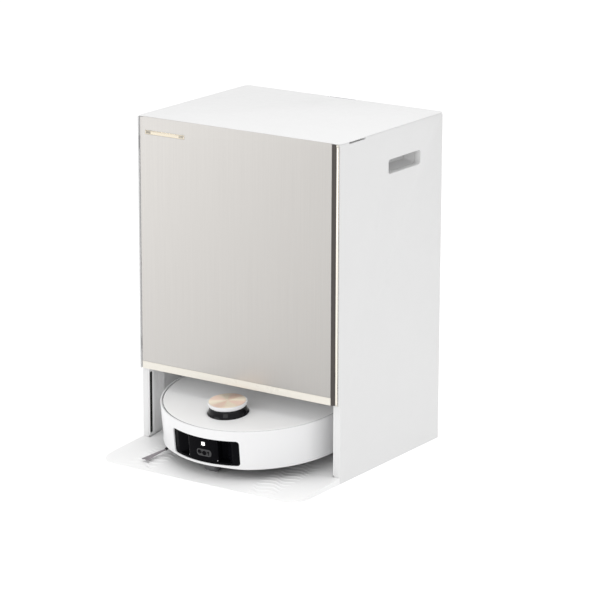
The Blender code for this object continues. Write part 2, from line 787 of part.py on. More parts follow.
def build():
    robot = make_robot_frame()
    make_tray(robot)
    mirrored_pair(make_feet)
    make_wash_board(robot)
    make_shell()
    mirrored_pair(make_handle_cup)
    mirrored_pair(make_liner)
    mirrored_pair(make_signal_strip)
    make_bay_back()
    mirrored_pair(make_contact)
    make_panels()
    make_tank("clean_tank", -1, CLEAR_GREY)
    make_tank("dirty_tank", 1, DARK)
    make_dust_system()
    make_station_insides()
    make_door()
    for name, z in HINGE_HEIGHTS.items():
        make_door_hinge(name, z)
    make_lid()
    make_chassis(robot)
    make_side_shell(robot)
    make_bumper(robot)
    make_top_cover(robot)
    make_turret(robot)
    make_robot_insides(robot)
    mirrored_pair(lambda side, sign: make_drive(robot, side, sign))
    make_brushes(robot)
    make_caster(robot)
    mirrored_pair(lambda side, sign: make_mop(robot, side, sign))


build()
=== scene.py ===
"""Looks of a robot vacuum docked in its tall base station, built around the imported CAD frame.

Lengths are millimetres unless a name says otherwise; the functions that make meshes turn them
into metres. The robot's pieces are drawn level in its own frame, ROBOT, nose towards -Y.
"""

import json
import math
import random

import bmesh
import bpy
from mathutils import Matrix, Vector


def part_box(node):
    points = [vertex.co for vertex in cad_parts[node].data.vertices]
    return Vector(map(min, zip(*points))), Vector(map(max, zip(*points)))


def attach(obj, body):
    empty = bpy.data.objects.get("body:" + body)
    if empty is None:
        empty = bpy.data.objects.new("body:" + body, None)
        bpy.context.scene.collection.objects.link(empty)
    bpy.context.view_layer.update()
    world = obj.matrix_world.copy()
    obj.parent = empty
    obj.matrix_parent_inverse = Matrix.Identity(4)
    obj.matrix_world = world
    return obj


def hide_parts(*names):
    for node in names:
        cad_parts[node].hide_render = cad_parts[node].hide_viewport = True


MM = 0.001
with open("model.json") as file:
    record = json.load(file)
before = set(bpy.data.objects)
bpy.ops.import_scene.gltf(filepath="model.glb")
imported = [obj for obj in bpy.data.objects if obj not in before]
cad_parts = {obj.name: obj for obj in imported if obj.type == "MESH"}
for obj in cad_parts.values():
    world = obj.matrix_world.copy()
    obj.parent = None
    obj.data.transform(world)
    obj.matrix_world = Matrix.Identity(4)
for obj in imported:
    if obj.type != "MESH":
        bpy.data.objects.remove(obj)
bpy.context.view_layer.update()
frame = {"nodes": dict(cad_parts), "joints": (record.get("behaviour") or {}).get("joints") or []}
JOINTS = {joint["name"]: joint for joint in frame["joints"]}
random.seed(7)


# ---------------------------------------------------------------- places


def span(node):
    """Lowest and highest corner of a CAD node, in millimetres."""
    low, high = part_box(node)
    return low / MM, high / MM


def robot_matrix():
    """The robot's level frame: origin on the wheels' contact plane, midway between the wheels."""
    up = Vector(JOINTS["lidar_spin"]["axis"]).normalized()
    ends = [Vector(JOINTS[f"wheel_{side}_spin"]["pos_m"]) for side in ("left", "right")]
    low, high = span("wheel_left")
    radius = (high.z - low.z) / 2 * MM
    across = Vector((1, 0, 0))
    made = Matrix((across, up.cross(across), up)).transposed().to_4x4()
    made.translation = (ends[0] + ends[1]) / 2 - up * radius
    return made


ROBOT = robot_matrix()


def local_span(node):
    """Lowest and highest corner of a robot node in the robot's own frame, in millimetres."""
    back = ROBOT.inverted()
    points = [back @ v.co / MM for v in frame["nodes"][node].data.vertices]
    low = Vector([min(p[i] for p in points) for i in range(3)])
    high = Vector([max(p[i] for p in points) for i in range(3)])
    return low, high


def joint_place(name):
    """A robot joint's point in the robot's own frame, in millimetres."""
    return ROBOT.inverted() @ Vector(JOINTS[name]["pos_m"]) / MM


# ---------------------------------------------------------------- shapes


def rounded(points, radii, segments=6, closed=True):
    """Rounds the corners of a flat outline. radii is one radius or one for each corner."""
    count = len(points)
    if not hasattr(radii, "__len__"):
        radii = [radii] * count
    made = []
    for i, point in enumerate(points):
        here = Vector(point)
        before = Vector(points[i - 1]) - here
        after = Vector(points[(i + 1) % count]) - here
        at_end = not closed and i in (0, count - 1)
        if at_end or radii[i] <= 0 or before.angle(after) > math.radians(178):
            made.append(tuple(here))
            continue
        half = before.angle(after) / 2
        reach = min(radii[i] / math.tan(half), before.length * 0.49, after.length * 0.49)
        radius = reach * math.tan(half)
        middle = (before.normalized() + after.normalized()).normalized()
        centre = here + middle * (radius / math.sin(half))
        first = here + before.normalized() * reach - centre
        last = here + after.normalized() * reach - centre
        turn = math.atan2(first.x * last.y - first.y * last.x, first.dot(last))
        for k in range(segments + 1):
            spun = Matrix.Rotation(turn * k / segments, 2) @ first
            made.append(tuple(centre + spun))
    return made


def rectangle(width, height, radius, centre=(0.0, 0.0), segments=5):
    """A rounded rectangle as an outline."""
    x, y = centre
    w, h = width / 2, height / 2
    corners = [(x - w, y - h), (x + w, y - h), (x + w, y + h), (x - w, y + h)]
    return rounded(corners, radius, segments)


def outward(shape):
    """Turns every face of a closed shape to point out."""
    bmesh.ops.recalc_face_normals(shape, faces=shape.faces)
    if shape.calc_volume(signed=True) < 0:
        bmesh.ops.reverse_faces(shape, faces=shape.faces)
    return shape


def shape_of(verts, faces):
    """A bmesh from points in millimetres."""
    shape = bmesh.new()
    made = [shape.verts.new(Vector(v) * MM) for v in verts]
    for face in faces:
        shape.faces.new([made[i] for i in face])
    return outward(shape)


def prism(points, low, high):
    """An outline in XY given thickness from low to high."""
    count = len(points)
    verts = [(x, y, low) for x, y in points] + [(x, y, high) for x, y in points]
    sides = [(i, (i + 1) % count, (i + 1) % count + count, i + count) for i in range(count)]
    return shape_of(verts, [tuple(range(count)), tuple(range(count, 2 * count))] + sides)


AXES = {
    "x": Matrix(((0, 0, 1, 0), (1, 0, 0, 0), (0, 1, 0, 0), (0, 0, 0, 1))),
    "y": Matrix(((1, 0, 0, 0), (0, 0, 1, 0), (0, 1, 0, 0), (0, 0, 0, 1))),
}


def bar(points, low, high, axis):
    """An outline given thickness along X, drawn in (y, z), or along Y, drawn in (x, z)."""
    shape = prism(points, low, high)
    shape.transform(AXES[axis])
    return outward(shape)


def block(low, high, radius=0.0, segments=3):
    """A box between two corners with rounded edges."""
    (x0, y0, z0), (x1, y1, z1) = low, high
    shape = prism([(x0, y0), (x1, y0), (x1, y1), (x0, y1)], z0, z1)
    if radius:
        bevel(shape, shape.edges[:], radius, segments)
    return shape


def bevel(shape, edges, width, segments=2):
    bmesh.ops.bevel(
        shape,
        geom=edges,
        offset=width * MM,
        segments=segments,
        profile=0.5,
        affect="EDGES",
        clamp_overlap=True,
    )
    return shape


def soft(shape, width=0.5, segments=2, angle=35):
    """Rounds every edge sharper than an angle."""
    limit = math.radians(angle)
    edges = [e for e in shape.edges if len(e.link_faces) == 2 and e.calc_face_angle() > limit]
    return bevel(shape, edges, width, segments)


def lathe(profile, steps=96, start=0.0, sweep=360.0):
    """A closed (radius, z) profile turned about Z; angle 0 is -Y, and it grows towards +X."""
    full = sweep >= 360
    count = steps if full else steps + 1
    verts = []
    rings = []
    for i in range(count):
        angle = math.radians(start + sweep * i / steps)
        ring = []
        for j, (radius, z) in enumerate(profile):
            if radius < 1e-6 and i:
                ring.append(rings[0][j])
                continue
            ring.append(len(verts))
            verts.append((radius * math.sin(angle), -radius * math.cos(angle), z))
        rings.append(ring)
    faces = []
    size = len(profile)
    for i in range(steps):
        one, two = rings[i], rings[(i + 1) % count]
        for j in range(size):
            k = (j + 1) % size
            face = list(dict.fromkeys((one[j], one[k], two[k], two[j])))
            if len(face) > 2:
                faces.append(face)
    if not full:
        faces += [rings[0], rings[-1]]
    return shape_of(verts, faces)


def rod(radius, start, end, sides=32, edge=0.0):
    """A round bar between two points, with rounded rims."""
    start, end = Vector(start), Vector(end)
    length = (end - start).length
    profile = [(0, 0), (radius, 0), (radius, length), (0, length)]
    if edge:
        profile = rounded(profile, [0, edge, edge, 0], 3)
    shape = lathe(profile, sides)
    turn = Vector((0, 0, 1)).rotation_difference(end - start).to_matrix().to_4x4()
    shape.transform(Matrix.Translation(start * MM) @ turn)
    return shape


def tube(points, radius, sides=12):
    """A round tube along points, with flat ends."""
    points = [Vector(p) for p in points]
    verts = []
    side = None
    for i, point in enumerate(points):
        along = (points[min(i + 1, len(points) - 1)] - points[max(i - 1, 0)]).normalized()
        if side is None:
            side = along.orthogonal().normalized()
        side = (side - along * side.dot(along)).normalized()
        other = along.cross(side)
        for k in range(sides):
            a = 2 * math.pi * k / sides
            verts.append(point + side * radius * math.cos(a) + other * radius * math.sin(a))
    faces = [tuple(range(sides)), tuple(range(len(verts) - sides, len(verts)))]
    for i in range(len(points) - 1):
        for k in range(sides):
            j = (k + 1) % sides
            row, following = i * sides, (i + 1) * sides
            faces.append((row + k, row + j, following + j, following + k))
    return shape_of(verts, faces)


def smooth_path(knots, steps=8):
    """A smooth curve through points."""
    knots = [Vector(k) for k in knots]
    padded = [2 * knots[0] - knots[1], *knots, 2 * knots[-1] - knots[-2]]
    made = []
    for a, b, c, d in zip(padded, padded[1:], padded[2:], padded[3:]):
        for i in range(steps):
            t = i / steps
            made.append(
                0.5
                * (
                    2 * b
                    + (c - a) * t
                    + (2 * a - 5 * b + 4 * c - d) * t**2
                    + (3 * b - a - 3 * c + d) * t**3
                )
            )
    return [*made, knots[-1]]


def surface(rows, thickness_rows):
    """A closed solid between two grids of points: a front and a back of the same size."""
    high, wide = len(rows), len(rows[0])
    verts = [p for row in rows for p in row] + [p for row in thickness_rows for p in row]
    back = high * wide
    faces = []
    for i in range(high - 1):
        for j in range(wide - 1):
            a, b = i * wide + j, i * wide + j + 1
            c, d = b + wide, a + wide
            faces += [(a, b, c, d), (a + back, d + back, c + back, b + back)]
    rim = [j for j in range(wide)]
    rim += [i * wide + wide - 1 for i in range(1, high)]
    rim += [(high - 1) * wide + j for j in range(wide - 2, -1, -1)]
    rim += [i * wide for i in range(high - 2, 0, -1)]
    for a, b in zip(rim, rim[1:] + rim[:1]):
        faces.append((a, b, b + back, a + back))
    return shape_of(verts, faces)


def loft(rings):
    """A closed solid through rings of points, each of the same count."""
    count = len(rings[0])
    verts = [p for ring in rings for p in ring]
    faces = [tuple(range(count)), tuple(range(len(verts) - count, len(verts)))]
    for i in range(len(rings) - 1):
        for k in range(count):
            j = (k + 1) % count
            faces.append((i * count + k, i * count + j, (i + 1) * count + j, (i + 1) * count + k))
    return shape_of(verts, faces)


def merged(*shapes):
    """Several shapes as one, side by side."""
    made = bmesh.new()
    for shape in shapes:
        mesh = bpy.data.meshes.new("part")
        shape.to_mesh(mesh)
        shape.free()
        made.from_mesh(mesh)
        bpy.data.meshes.remove(mesh)
    return made


def moved(shape, offset=(0, 0, 0), turn=None):
    if turn is not None:
        shape.transform(turn)
    shape.transform(Matrix.Translation(Vector(offset) * MM))
    return shape


def boolean(shape, others, operation="DIFFERENCE"):
    """The exact Boolean of a shape with others, as a new shape."""
    made = []
    for item in (shape, *others):
        mesh = bpy.data.meshes.new("operand")
        item.to_mesh(mesh)
        item.free()
        obj = bpy.data.objects.new("operand", mesh)
        bpy.context.scene.collection.objects.link(obj)
        made.append(obj)
    for other in made[1:]:
        step = made[0].modifiers.new("step", "BOOLEAN")
        step.operation = operation
        step.solver = "EXACT"
        step.object = other
    bpy.context.view_layer.update()
    graph = bpy.context.evaluated_depsgraph_get()
    result = bmesh.new()
    result.from_mesh(made[0].evaluated_get(graph).data)
    for obj in made:
        bpy.data.meshes.remove(obj.data)
    bmesh.ops.remove_doubles(result, verts=result.verts, dist=0.00001)
    bmesh.ops.dissolve_limit(result, angle_limit=0.005, verts=result.verts, edges=result.edges)
    return result


def cad_shape(node):
    """A node's CAD shape with its triangles joined into flat faces again."""
    shape = bmesh.new()
    shape.from_mesh(frame["nodes"][node].data)
    bmesh.ops.remove_doubles(shape, verts=shape.verts, dist=0.00002)
    bmesh.ops.dissolve_limit(shape, angle_limit=0.01, verts=shape.verts, edges=shape.edges)
    bmesh.ops.recalc_face_normals(shape, faces=shape.faces)
    return shape


def piece(name, shape, body, finish, stands_for=(), matrix=None, angle=35):
    """Makes a shape a piece of the object that rides on a body and takes a finish."""
    if shape.calc_volume(signed=True) < 0:
        bmesh.ops.reverse_faces(shape, faces=shape.faces)
    mesh = bpy.data.meshes.new(name)
    shape.to_mesh(mesh)
    shape.free()
    mesh.shade_smooth()
    mesh.set_sharp_from_angle(angle=math.radians(angle))
    mesh.materials.append(finish)
    obj = bpy.data.objects.new(name, mesh)
    bpy.context.scene.collection.objects.link(obj)
    if matrix is not None:
        obj.matrix_world = matrix
    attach(obj, body)
    if stands_for:
        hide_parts(*stands_for)
    return obj


def robot_piece(name, shape, body, finish, stands_for=(), angle=35, at=(0, 0, 0)):
    """A piece drawn in the robot's own frame, about a point in it."""
    matrix = ROBOT @ Matrix.Translation(Vector(at) * MM)
    return piece(name, shape, body, finish, stands_for, matrix, angle)


def refined(node, body, finish, width=0.6, segments=2):
    """The CAD shape again with rounded edges."""
    return piece(node + "_body", soft(cad_shape(node), width, segments), body, finish, [node])


# ---------------------------------------------------------------- materials


class Finish:
    """A material made of nodes around one Principled shader, with textures in object space."""

    def __init__(self, name, metallic=0.0, **sockets):
        self.material = bpy.data.materials.new(name)
        self.material.use_nodes = True
        self.tree = self.material.node_tree
        self.shader = self.tree.nodes["Principled BSDF"]
        self.shader.inputs["Metallic"].default_value = metallic
        for key, value in sockets.items():
            self.shader.inputs[key.replace("_", " ")].default_value = value
        self.place = self.node("ShaderNodeTexCoord").outputs["Object"]
        self.normal = None

    def node(self, kind, **settings):
        made = self.tree.nodes.new(kind)
        for key, value in settings.items():
            setattr(made, key, value)
        return made

    def link(self, a, b):
        self.tree.links.new(a, b)

    def noise(self, size_mm, stretch=(1, 1, 1), detail=3.0):
        """Noise with features of a size; stretch makes them longer along an axis."""
        mapping = self.node("ShaderNodeMapping")
        mapping.inputs["Scale"].default_value = [1 / (size_mm * MM * s) for s in stretch]
        self.link(self.place, mapping.inputs["Vector"])
        texture = self.node("ShaderNodeTexNoise")
        texture.inputs["Scale"].default_value = 1.0
        texture.inputs["Detail"].default_value = detail
        self.link(mapping.outputs["Vector"], texture.inputs["Vector"])
        return texture.outputs["Fac"]

    def spread(self, value, low, high):
        """Noise, which stays near 0.5, spread between two values."""
        made = self.node("ShaderNodeMapRange")
        made.inputs["From Min"].default_value = 0.3
        made.inputs["From Max"].default_value = 0.7
        made.inputs["To Min"].default_value = low
        made.inputs["To Max"].default_value = high
        self.link(value, made.inputs["Value"])
        return made.outputs["Result"]

    def colour(self, value, first, second):
        """A colour that runs between two along a value."""
        ramp = self.node("ShaderNodeValToRGB")
        ramp.color_ramp.elements[0].position = 0.3
        ramp.color_ramp.elements[1].position = 0.7
        ramp.color_ramp.elements[0].color = (*first, 1.0)
        ramp.color_ramp.elements[1].color = (*second, 1.0)
        self.link(value, ramp.inputs["Fac"])
        self.link(ramp.outputs["Color"], self.shader.inputs["Base Color"])
        return self

    def painted_reflection(self, direction, start, end, low, high):
        """Scales the colour along a direction, from low at one reach to high at another: a painted
        reflection gradient.
        """
        reach = self.node("ShaderNodeVectorMath", operation="DOT_PRODUCT")
        reach.inputs[1].default_value = direction
        self.link(self.place, reach.inputs[0])
        factor = self.node("ShaderNodeMapRange")
        factor.inputs["From Min"].default_value = start * MM
        factor.inputs["From Max"].default_value = end * MM
        factor.inputs["To Min"].default_value = low
        factor.inputs["To Max"].default_value = high
        self.link(reach.outputs["Value"], factor.inputs["Value"])
        base = self.shader.inputs["Base Color"]
        scaled = self.node("ShaderNodeVectorMath", operation="SCALE")
        self.link(base.links[0].from_socket, scaled.inputs[0])
        self.link(factor.outputs["Result"], scaled.inputs["Scale"])
        self.link(scaled.outputs["Vector"], base)
        return self

    def roughness(self, value, low, high):
        self.link(self.spread(value, low, high), self.shader.inputs["Roughness"])
        return self

    def bump(self, value, height_mm, strength=1.0):
        made = self.node("ShaderNodeBump")
        made.inputs["Distance"].default_value = height_mm * MM
        made.inputs["Strength"].default_value = strength
        self.link(value, made.inputs["Height"])
        if self.normal is not None:
            self.link(self.normal, made.inputs["Normal"])
        self.normal = made.outputs["Normal"]
        self.link(self.normal, self.shader.inputs["Normal"])
        return self


def shade(colour, factor):
    return tuple(min(1.0, c * factor) for c in colour)


def plastic(name, colour, rough=(0.3, 0.4), grain=0.6, height=0.002, vary=0.006, **sockets):
    """Moulded plastic: a faint mottle, a fine moulded grain and soft wear in its gloss."""
    made = Finish(name, **sockets)
    made.colour(made.noise(60, detail=4), shade(colour, 1 - vary), shade(colour, 1 + vary))
    made.roughness(made.noise(14, detail=5), *rough)
    made.bump(made.noise(grain, detail=2), height)
    return made.material


def brushed(
    name, colour, along, rough=(0.25, 0.4), line=0.22, height=0.002, vary=0.03, painted_reflection=None, **sockets
):
    """Metal brushed along one axis: long fine lines in its colour, gloss and relief; a given painted
    reflection scales its colour along a direction.
    """
    made = Finish(name, metallic=1.0, **sockets)
    stretch = tuple(160 if axis == along else 1 for axis in "xyz")
    fine = made.noise(line, stretch, 4)
    coarse = made.noise(line * 6, stretch, 3)
    made.colour(coarse, shade(colour, 1 - vary), shade(colour, 1 + vary))
    made.roughness(fine, *rough)
    made.bump(fine, height)
    if painted_reflection:
        made.painted_reflection(*painted_reflection)
    return made.material


def fabric(name, colour, thread, rough=(0.85, 0.98), height=0.12, **sockets):
    """Woven or felted cloth: crossing threads under a loose mottle."""
    made = Finish(name, **sockets)
    made.colour(made.noise(thread * 3, detail=5), shade(colour, 0.85), shade(colour, 1.12))
    made.roughness(made.noise(thread * 2), *rough)
    made.bump(made.noise(thread, (4, 1, 1)), height)
    made.bump(made.noise(thread, (1, 4, 1)), height)
    return made.material


# The shell's white is partly its own colour and partly painted shade: set darker than the liner's white, as
# a shaded copy of one white plastic.
WHITE = plastic("shell_white_satin_painted_darker", (0.77, 0.77, 0.77), (0.30, 0.42))
# The robot's white is partly its own colour and partly painted shade: set darker than the top cover's
# white, as a shaded copy for the bumper and sides.
ROBOT_WHITE_PAINTED_DARKER = plastic("robot_white_satin_painted_darker", (0.83, 0.83, 0.835), (0.30, 0.36), Coat_Weight=0.15)
# The tray's white is partly its own colour and partly painted light: set lighter to lift the shade under
# the robot.
TRAY_WHITE_PAINTED_LIGHTER = plastic("tray_white_matte_painted_lighter", (0.92, 0.92, 0.92), (0.42, 0.52), 0.8, 0.006)
INNER = plastic("inner_grey_matte", (0.62, 0.62, 0.625), (0.5, 0.62), 1.0, 0.03)
# The liner's white is partly its own colour and partly painted light: set lighter to lift the shade inside
# the bay.
LINER_WHITE_PAINTED_LIGHTER = plastic("liner_white_painted_lighter", (0.93, 0.93, 0.93), (0.35, 0.45), 1.0, 0.02)
IVORY = plastic("pearl_ivory", (0.80, 0.765, 0.69), (0.26, 0.34), 0.8, 0.008, Coat_Weight=0.3)
GLOSS = plastic(
    "gloss_black", (0.008, 0.008, 0.009), (0.06, 0.11), 2.0, 0.001, 0.1, Specular_IOR_Level=0.18
)
SMOKE_LENS = plastic(
    "camera_glass", (0.003, 0.003, 0.004), (0.05, 0.09), 2.0, 0.001, 0.1, Specular_IOR_Level=0.03
)
# The top cover's white is partly its own colour and partly painted light: set lighter than the robot's
# white, as a lit copy for its upward face.
COVER_WHITE_PAINTED_LIGHTER = plastic("cover_white_satin_painted_lighter", (0.91, 0.91, 0.91), (0.30, 0.36), Coat_Weight=0.15)
# Painted shade: the handle recess's white is set darker than the shell's, standing in for the shade inside
# the hollow.
RECESS_PAINTED_SHADE = plastic("recess_white_painted_shade", (0.66, 0.66, 0.66), (0.35, 0.45))
SENSOR_BLACK = plastic(
    "sensor_black", (0.004, 0.004, 0.005), (0.16, 0.26), 2.0, 0.001, 0.1, Specular_IOR_Level=0.03
)
BLACK = plastic("black_matte", (0.030, 0.030, 0.033), (0.45, 0.6), 0.8, 0.03, 0.1)
DARK = plastic("dark_grey_satin", (0.10, 0.10, 0.105), (0.35, 0.5), 0.8, 0.02, 0.1)
CLUSTER = plastic("cluster_grey", (0.030, 0.030, 0.032), (0.3, 0.4), 0.5, 0.01, 0.1)
RUBBER = plastic("rubber_black", (0.022, 0.022, 0.022), (0.7, 0.85), 0.6, 0.05, 0.15)
TYRE = plastic("tyre_rubber", (0.03, 0.03, 0.031), (0.75, 0.9), 0.5, 0.06, 0.15)
SOFT_GREY = plastic("soft_grey_rubber", (0.30, 0.30, 0.31), (0.6, 0.75), 0.7, 0.03, 0.06)
# A painted reflection: the door's metal colour is painted brighter to its upper left and darker to its
# lower right, standing in for the studio's reflection in it.
DOOR_PAINTED_REFLECTION = ((0.74, 0.0, -0.67), -560.0, 40.0, 1.22, 0.84)
CHAMPAGNE = brushed(
    "brushed_champagne_painted_reflection", (0.580, 0.562, 0.540), "z", (0.36, 0.46), vary=0.02, painted_reflection=DOOR_PAINTED_REFLECTION
)
GOLD = brushed("champagne_gold", (0.93, 0.88, 0.80), "z", (0.10, 0.18), 0.4, 0.001, 0.03)
# Partly painted shade: this dark bronze stands in for the dark flanks beside the door rail's highlight.
DARK_BRONZE_PAINTED_SHADE = plastic("dark_bronze_painted_shade", (0.050, 0.041, 0.036), (0.3, 0.4), 0.6, 0.01, 0.1)
STEEL = brushed("bare_steel", (0.58, 0.58, 0.60), "z", (0.25, 0.4), 0.5, 0.004, 0.06)
PLATE_GOLD = brushed("badge_gold", (0.84, 0.76, 0.62), "x", (0.2, 0.3), 0.3, 0.002, 0.04)
FLEECE = fabric("grey_fleece", (0.33, 0.34, 0.36), 0.7, height=0.3, Sheen_Weight=0.4)
BAG_CLOTH = fabric("non_woven_bag", (0.66, 0.63, 0.56), 0.5, height=0.1, Sheen_Weight=0.15)
NYLON = plastic("nylon_bristle", (0.36, 0.335, 0.355), (0.45, 0.6), 0.3, 0.02, 0.15)
BOARD_GREEN = plastic("solder_mask", (0.02, 0.13, 0.06), (0.25, 0.4), 1.2, 0.02, 0.2)
CLEAR = plastic(
    "smoke_clear", (0.55, 0.60, 0.64), (0.05, 0.1), 3, 0.01, 0.03, Transmission_Weight=0.75, IOR=1.45
)
DARK_CLEAR = plastic(
    "dark_clear", (0.16, 0.16, 0.17), (0.06, 0.12), 3, 0.01, 0.05, Transmission_Weight=0.6, IOR=1.45
)
WATER = plastic(
    "water", (0.78, 0.88, 0.92), (0.02, 0.03), 12, 0.2, 0.01, Transmission_Weight=0.95, IOR=1.33
)


def disc_finish():
    """Rose gold with rings turned into it, whose gloss fans out from the middle. Its colour is painted in
    lighter and darker wedges around the middle: a painted highlight of that fan.
    """
    made = Finish("ring_brushed_rose_gold_painted_highlight", metallic=1.0, Anisotropic=0.75)
    lift = made.node("ShaderNodeSeparateXYZ")
    made.link(made.place, lift.inputs["Vector"])
    flat = made.node("ShaderNodeCombineXYZ")
    made.link(lift.outputs["X"], flat.inputs["X"])
    made.link(lift.outputs["Y"], flat.inputs["Y"])
    reach = made.node("ShaderNodeVectorMath", operation="LENGTH")
    made.link(flat.outputs["Vector"], reach.inputs[0])
    rings = made.node("ShaderNodeTexNoise", noise_dimensions="1D")
    rings.inputs["Scale"].default_value = 5000.0
    made.link(reach.outputs["Value"], rings.inputs["W"])
    value = rings.outputs["Fac"]
    # Painted highlight: the colour runs between two tones in wedges by angle, standing in for the gloss
    # fanning across the rings.
    turn = made.node("ShaderNodeTexGradient", gradient_type="RADIAL")
    made.link(made.place, turn.inputs["Vector"])
    fan = made.node("ShaderNodeMath", operation="PINGPONG")
    fan.inputs[1].default_value = 0.125
    made.link(turn.outputs["Fac"], fan.inputs[0])
    wide = made.node("ShaderNodeMath", operation="MULTIPLY")
    wide.inputs[1].default_value = 8.0
    made.link(fan.outputs["Value"], wide.inputs[0])
    made.colour(wide.outputs["Value"], (0.98, 0.79, 0.68), (0.99, 0.90, 0.76))
    made.roughness(value, 0.38, 0.48)
    made.bump(value, 0.004)
    tangent = made.node("ShaderNodeTangent", direction_type="RADIAL", axis="Z")
    made.link(tangent.outputs["Tangent"], made.shader.inputs["Tangent"])
    return made.material


def glow(name, colour, strength):
    """A lit window in a lamp: its moulded diffuser mottled a little lighter and darker."""
    made = Finish(name, Roughness=0.3, Emission_Strength=strength)
    made.colour(made.noise(2, detail=2), shade(colour, 0.92), colour)
    made.link(made.shader.inputs["Base Color"].links[0].from_socket, made.shader.inputs["Emission Color"])
    made.bump(made.noise(0.6), 0.01)
    return made.material


ROSE_GOLD = disc_finish()
LED_WHITE = glow("led_white", (0.95, 0.94, 0.92), 0.9)


# ---------------------------------------------------------------- camera, floor and light


def make_camera():
    """A long lens at the height of a standing viewer, to the right of the front."""
    place = Vector((2.9541, -4.2735, 1.6994))
    yaw, pitch, roll = math.radians(34.18), math.radians(15.20), math.radians(0.134)
    back = Vector(
        (math.sin(yaw) * math.cos(pitch), -math.cos(yaw) * math.cos(pitch), math.sin(pitch))
    )
    right = Vector((math.cos(yaw), math.sin(yaw), 0.0))
    up = back.cross(right)
    across = math.cos(roll) * right + math.sin(roll) * up
    upward = math.cos(roll) * up - math.sin(roll) * right
    turn = Matrix((across, upward, back)).transposed().to_4x4()
    data = bpy.data.cameras.new("camera")
    data.sensor_width = 36.0
    data.lens = 184.7
    data.clip_end = 100.0
    camera = bpy.data.objects.new("camera", data)
    bpy.context.scene.collection.objects.link(camera)
    camera.matrix_world = Matrix.Translation(place) @ turn
    bpy.context.scene.camera = camera


def make_floor():
    mesh = bpy.data.meshes.new("floor")
    reach = 30.0
    corners = [(-reach, -reach, 0), (reach, -reach, 0), (reach, reach, 0), (-reach, reach, 0)]
    mesh.from_pydata(corners, [], [(0, 1, 2, 3)])
    made = Finish("pale_floor")
    made.colour(made.noise(900, detail=3), (0.29, 0.29, 0.29), (0.31, 0.31, 0.31))
    made.roughness(made.noise(300), 0.7, 0.85)
    made.shader.inputs["Emission Color"].default_value = (1.0, 1.0, 1.0, 1.0)
    made.shader.inputs["Emission Strength"].default_value = 0.77
    mesh.materials.append(made.material)
    floor = bpy.data.objects.new("floor", mesh)
    bpy.context.scene.collection.objects.link(floor)


def area_light(name, place, aim, size, power):
    data = bpy.data.lights.new(name, "AREA")
    data.shape = "DISK"
    data.size = size
    data.energy = power
    light = bpy.data.objects.new(name, data)
    bpy.context.scene.collection.objects.link(light)
    light.location = place
    light.rotation_euler = (Vector(aim) - Vector(place)).to_track_quat("-Z", "Y").to_euler()


def make_light():
    world = bpy.data.worlds.new("studio")
    bpy.context.scene.world = world
    world.use_nodes = True
    background = world.node_tree.nodes["Background"]
    background.inputs["Color"].default_value = (1.0, 1.0, 1.0, 1.0)
    background.inputs["Strength"].default_value = 0.75
    area_light("key", (-2.6, -3.6, 2.3), (0, 0, 0.15), 2.4, 26)
    area_light("low", (1.5, -4.5, 0.7), (0, 0, 0.1), 2.2, 28)
    area_light("top", (0.2, 0.4, 4.2), (0, 0, 0.3), 3.4, 68)
    bpy.context.scene.view_settings.view_transform = "Standard"


# ---------------------------------------------------------------- station: cabinet

SHELL_LOW, SHELL_HIGH = span("outer_shell")
HALF = SHELL_HIGH.x
LID_LOW, LID_HIGH = span("top_lid")
DOOR_LOW, DOOR_HIGH = span("door_frame")
SKIN_LOW, SKIN_HIGH = span("door_skin")
TRIM_LOW = span("door_trim")[0]
FASCIA_LOW, FASCIA_HIGH = span("front_fascia")
CUP_LOW, CUP_HIGH = span("handle_cup_right")
TRAY_LOW = span("base_tray")[0]
WALL = 12.5
INNER_X = HALF - WALL
POST_Y = SHELL_LOW.y + 6.4
STEP_Z = TRIM_LOW.z - 1.0
LIP = 1.8


def wall_plan(front, lip_back, back_radius=8.0):
    """The three walls from above, as one band open to the front."""
    back = SHELL_HIGH.y
    inner_back = back - 4.0
    lip = LIP if lip_back > front else WALL
    points = [(HALF - lip, front), (HALF, front), (HALF, back), (-HALF, back), (-HALF, front)]
    radii = [0.6, 2.4 if lip == WALL else 1.0, back_radius, back_radius, 2.4 if lip == WALL else 1.0]
    points.append((-HALF + lip, front))
    radii.append(0.6)
    if lip != WALL:
        points.append((-HALF + lip, lip_back))
        radii.append(0.8)
        points.append((-INNER_X, lip_back))
        radii.append(0.8)
    points.append((-INNER_X, inner_back))
    radii.append(3.0)
    points.append((INNER_X, inner_back))
    radii.append(3.0)
    if lip != WALL:
        points.append((INNER_X, lip_back))
        radii.append(0.8)
        points.append((HALF - lip, lip_back))
        radii.append(0.8)
    return rounded(points, radii, 5)


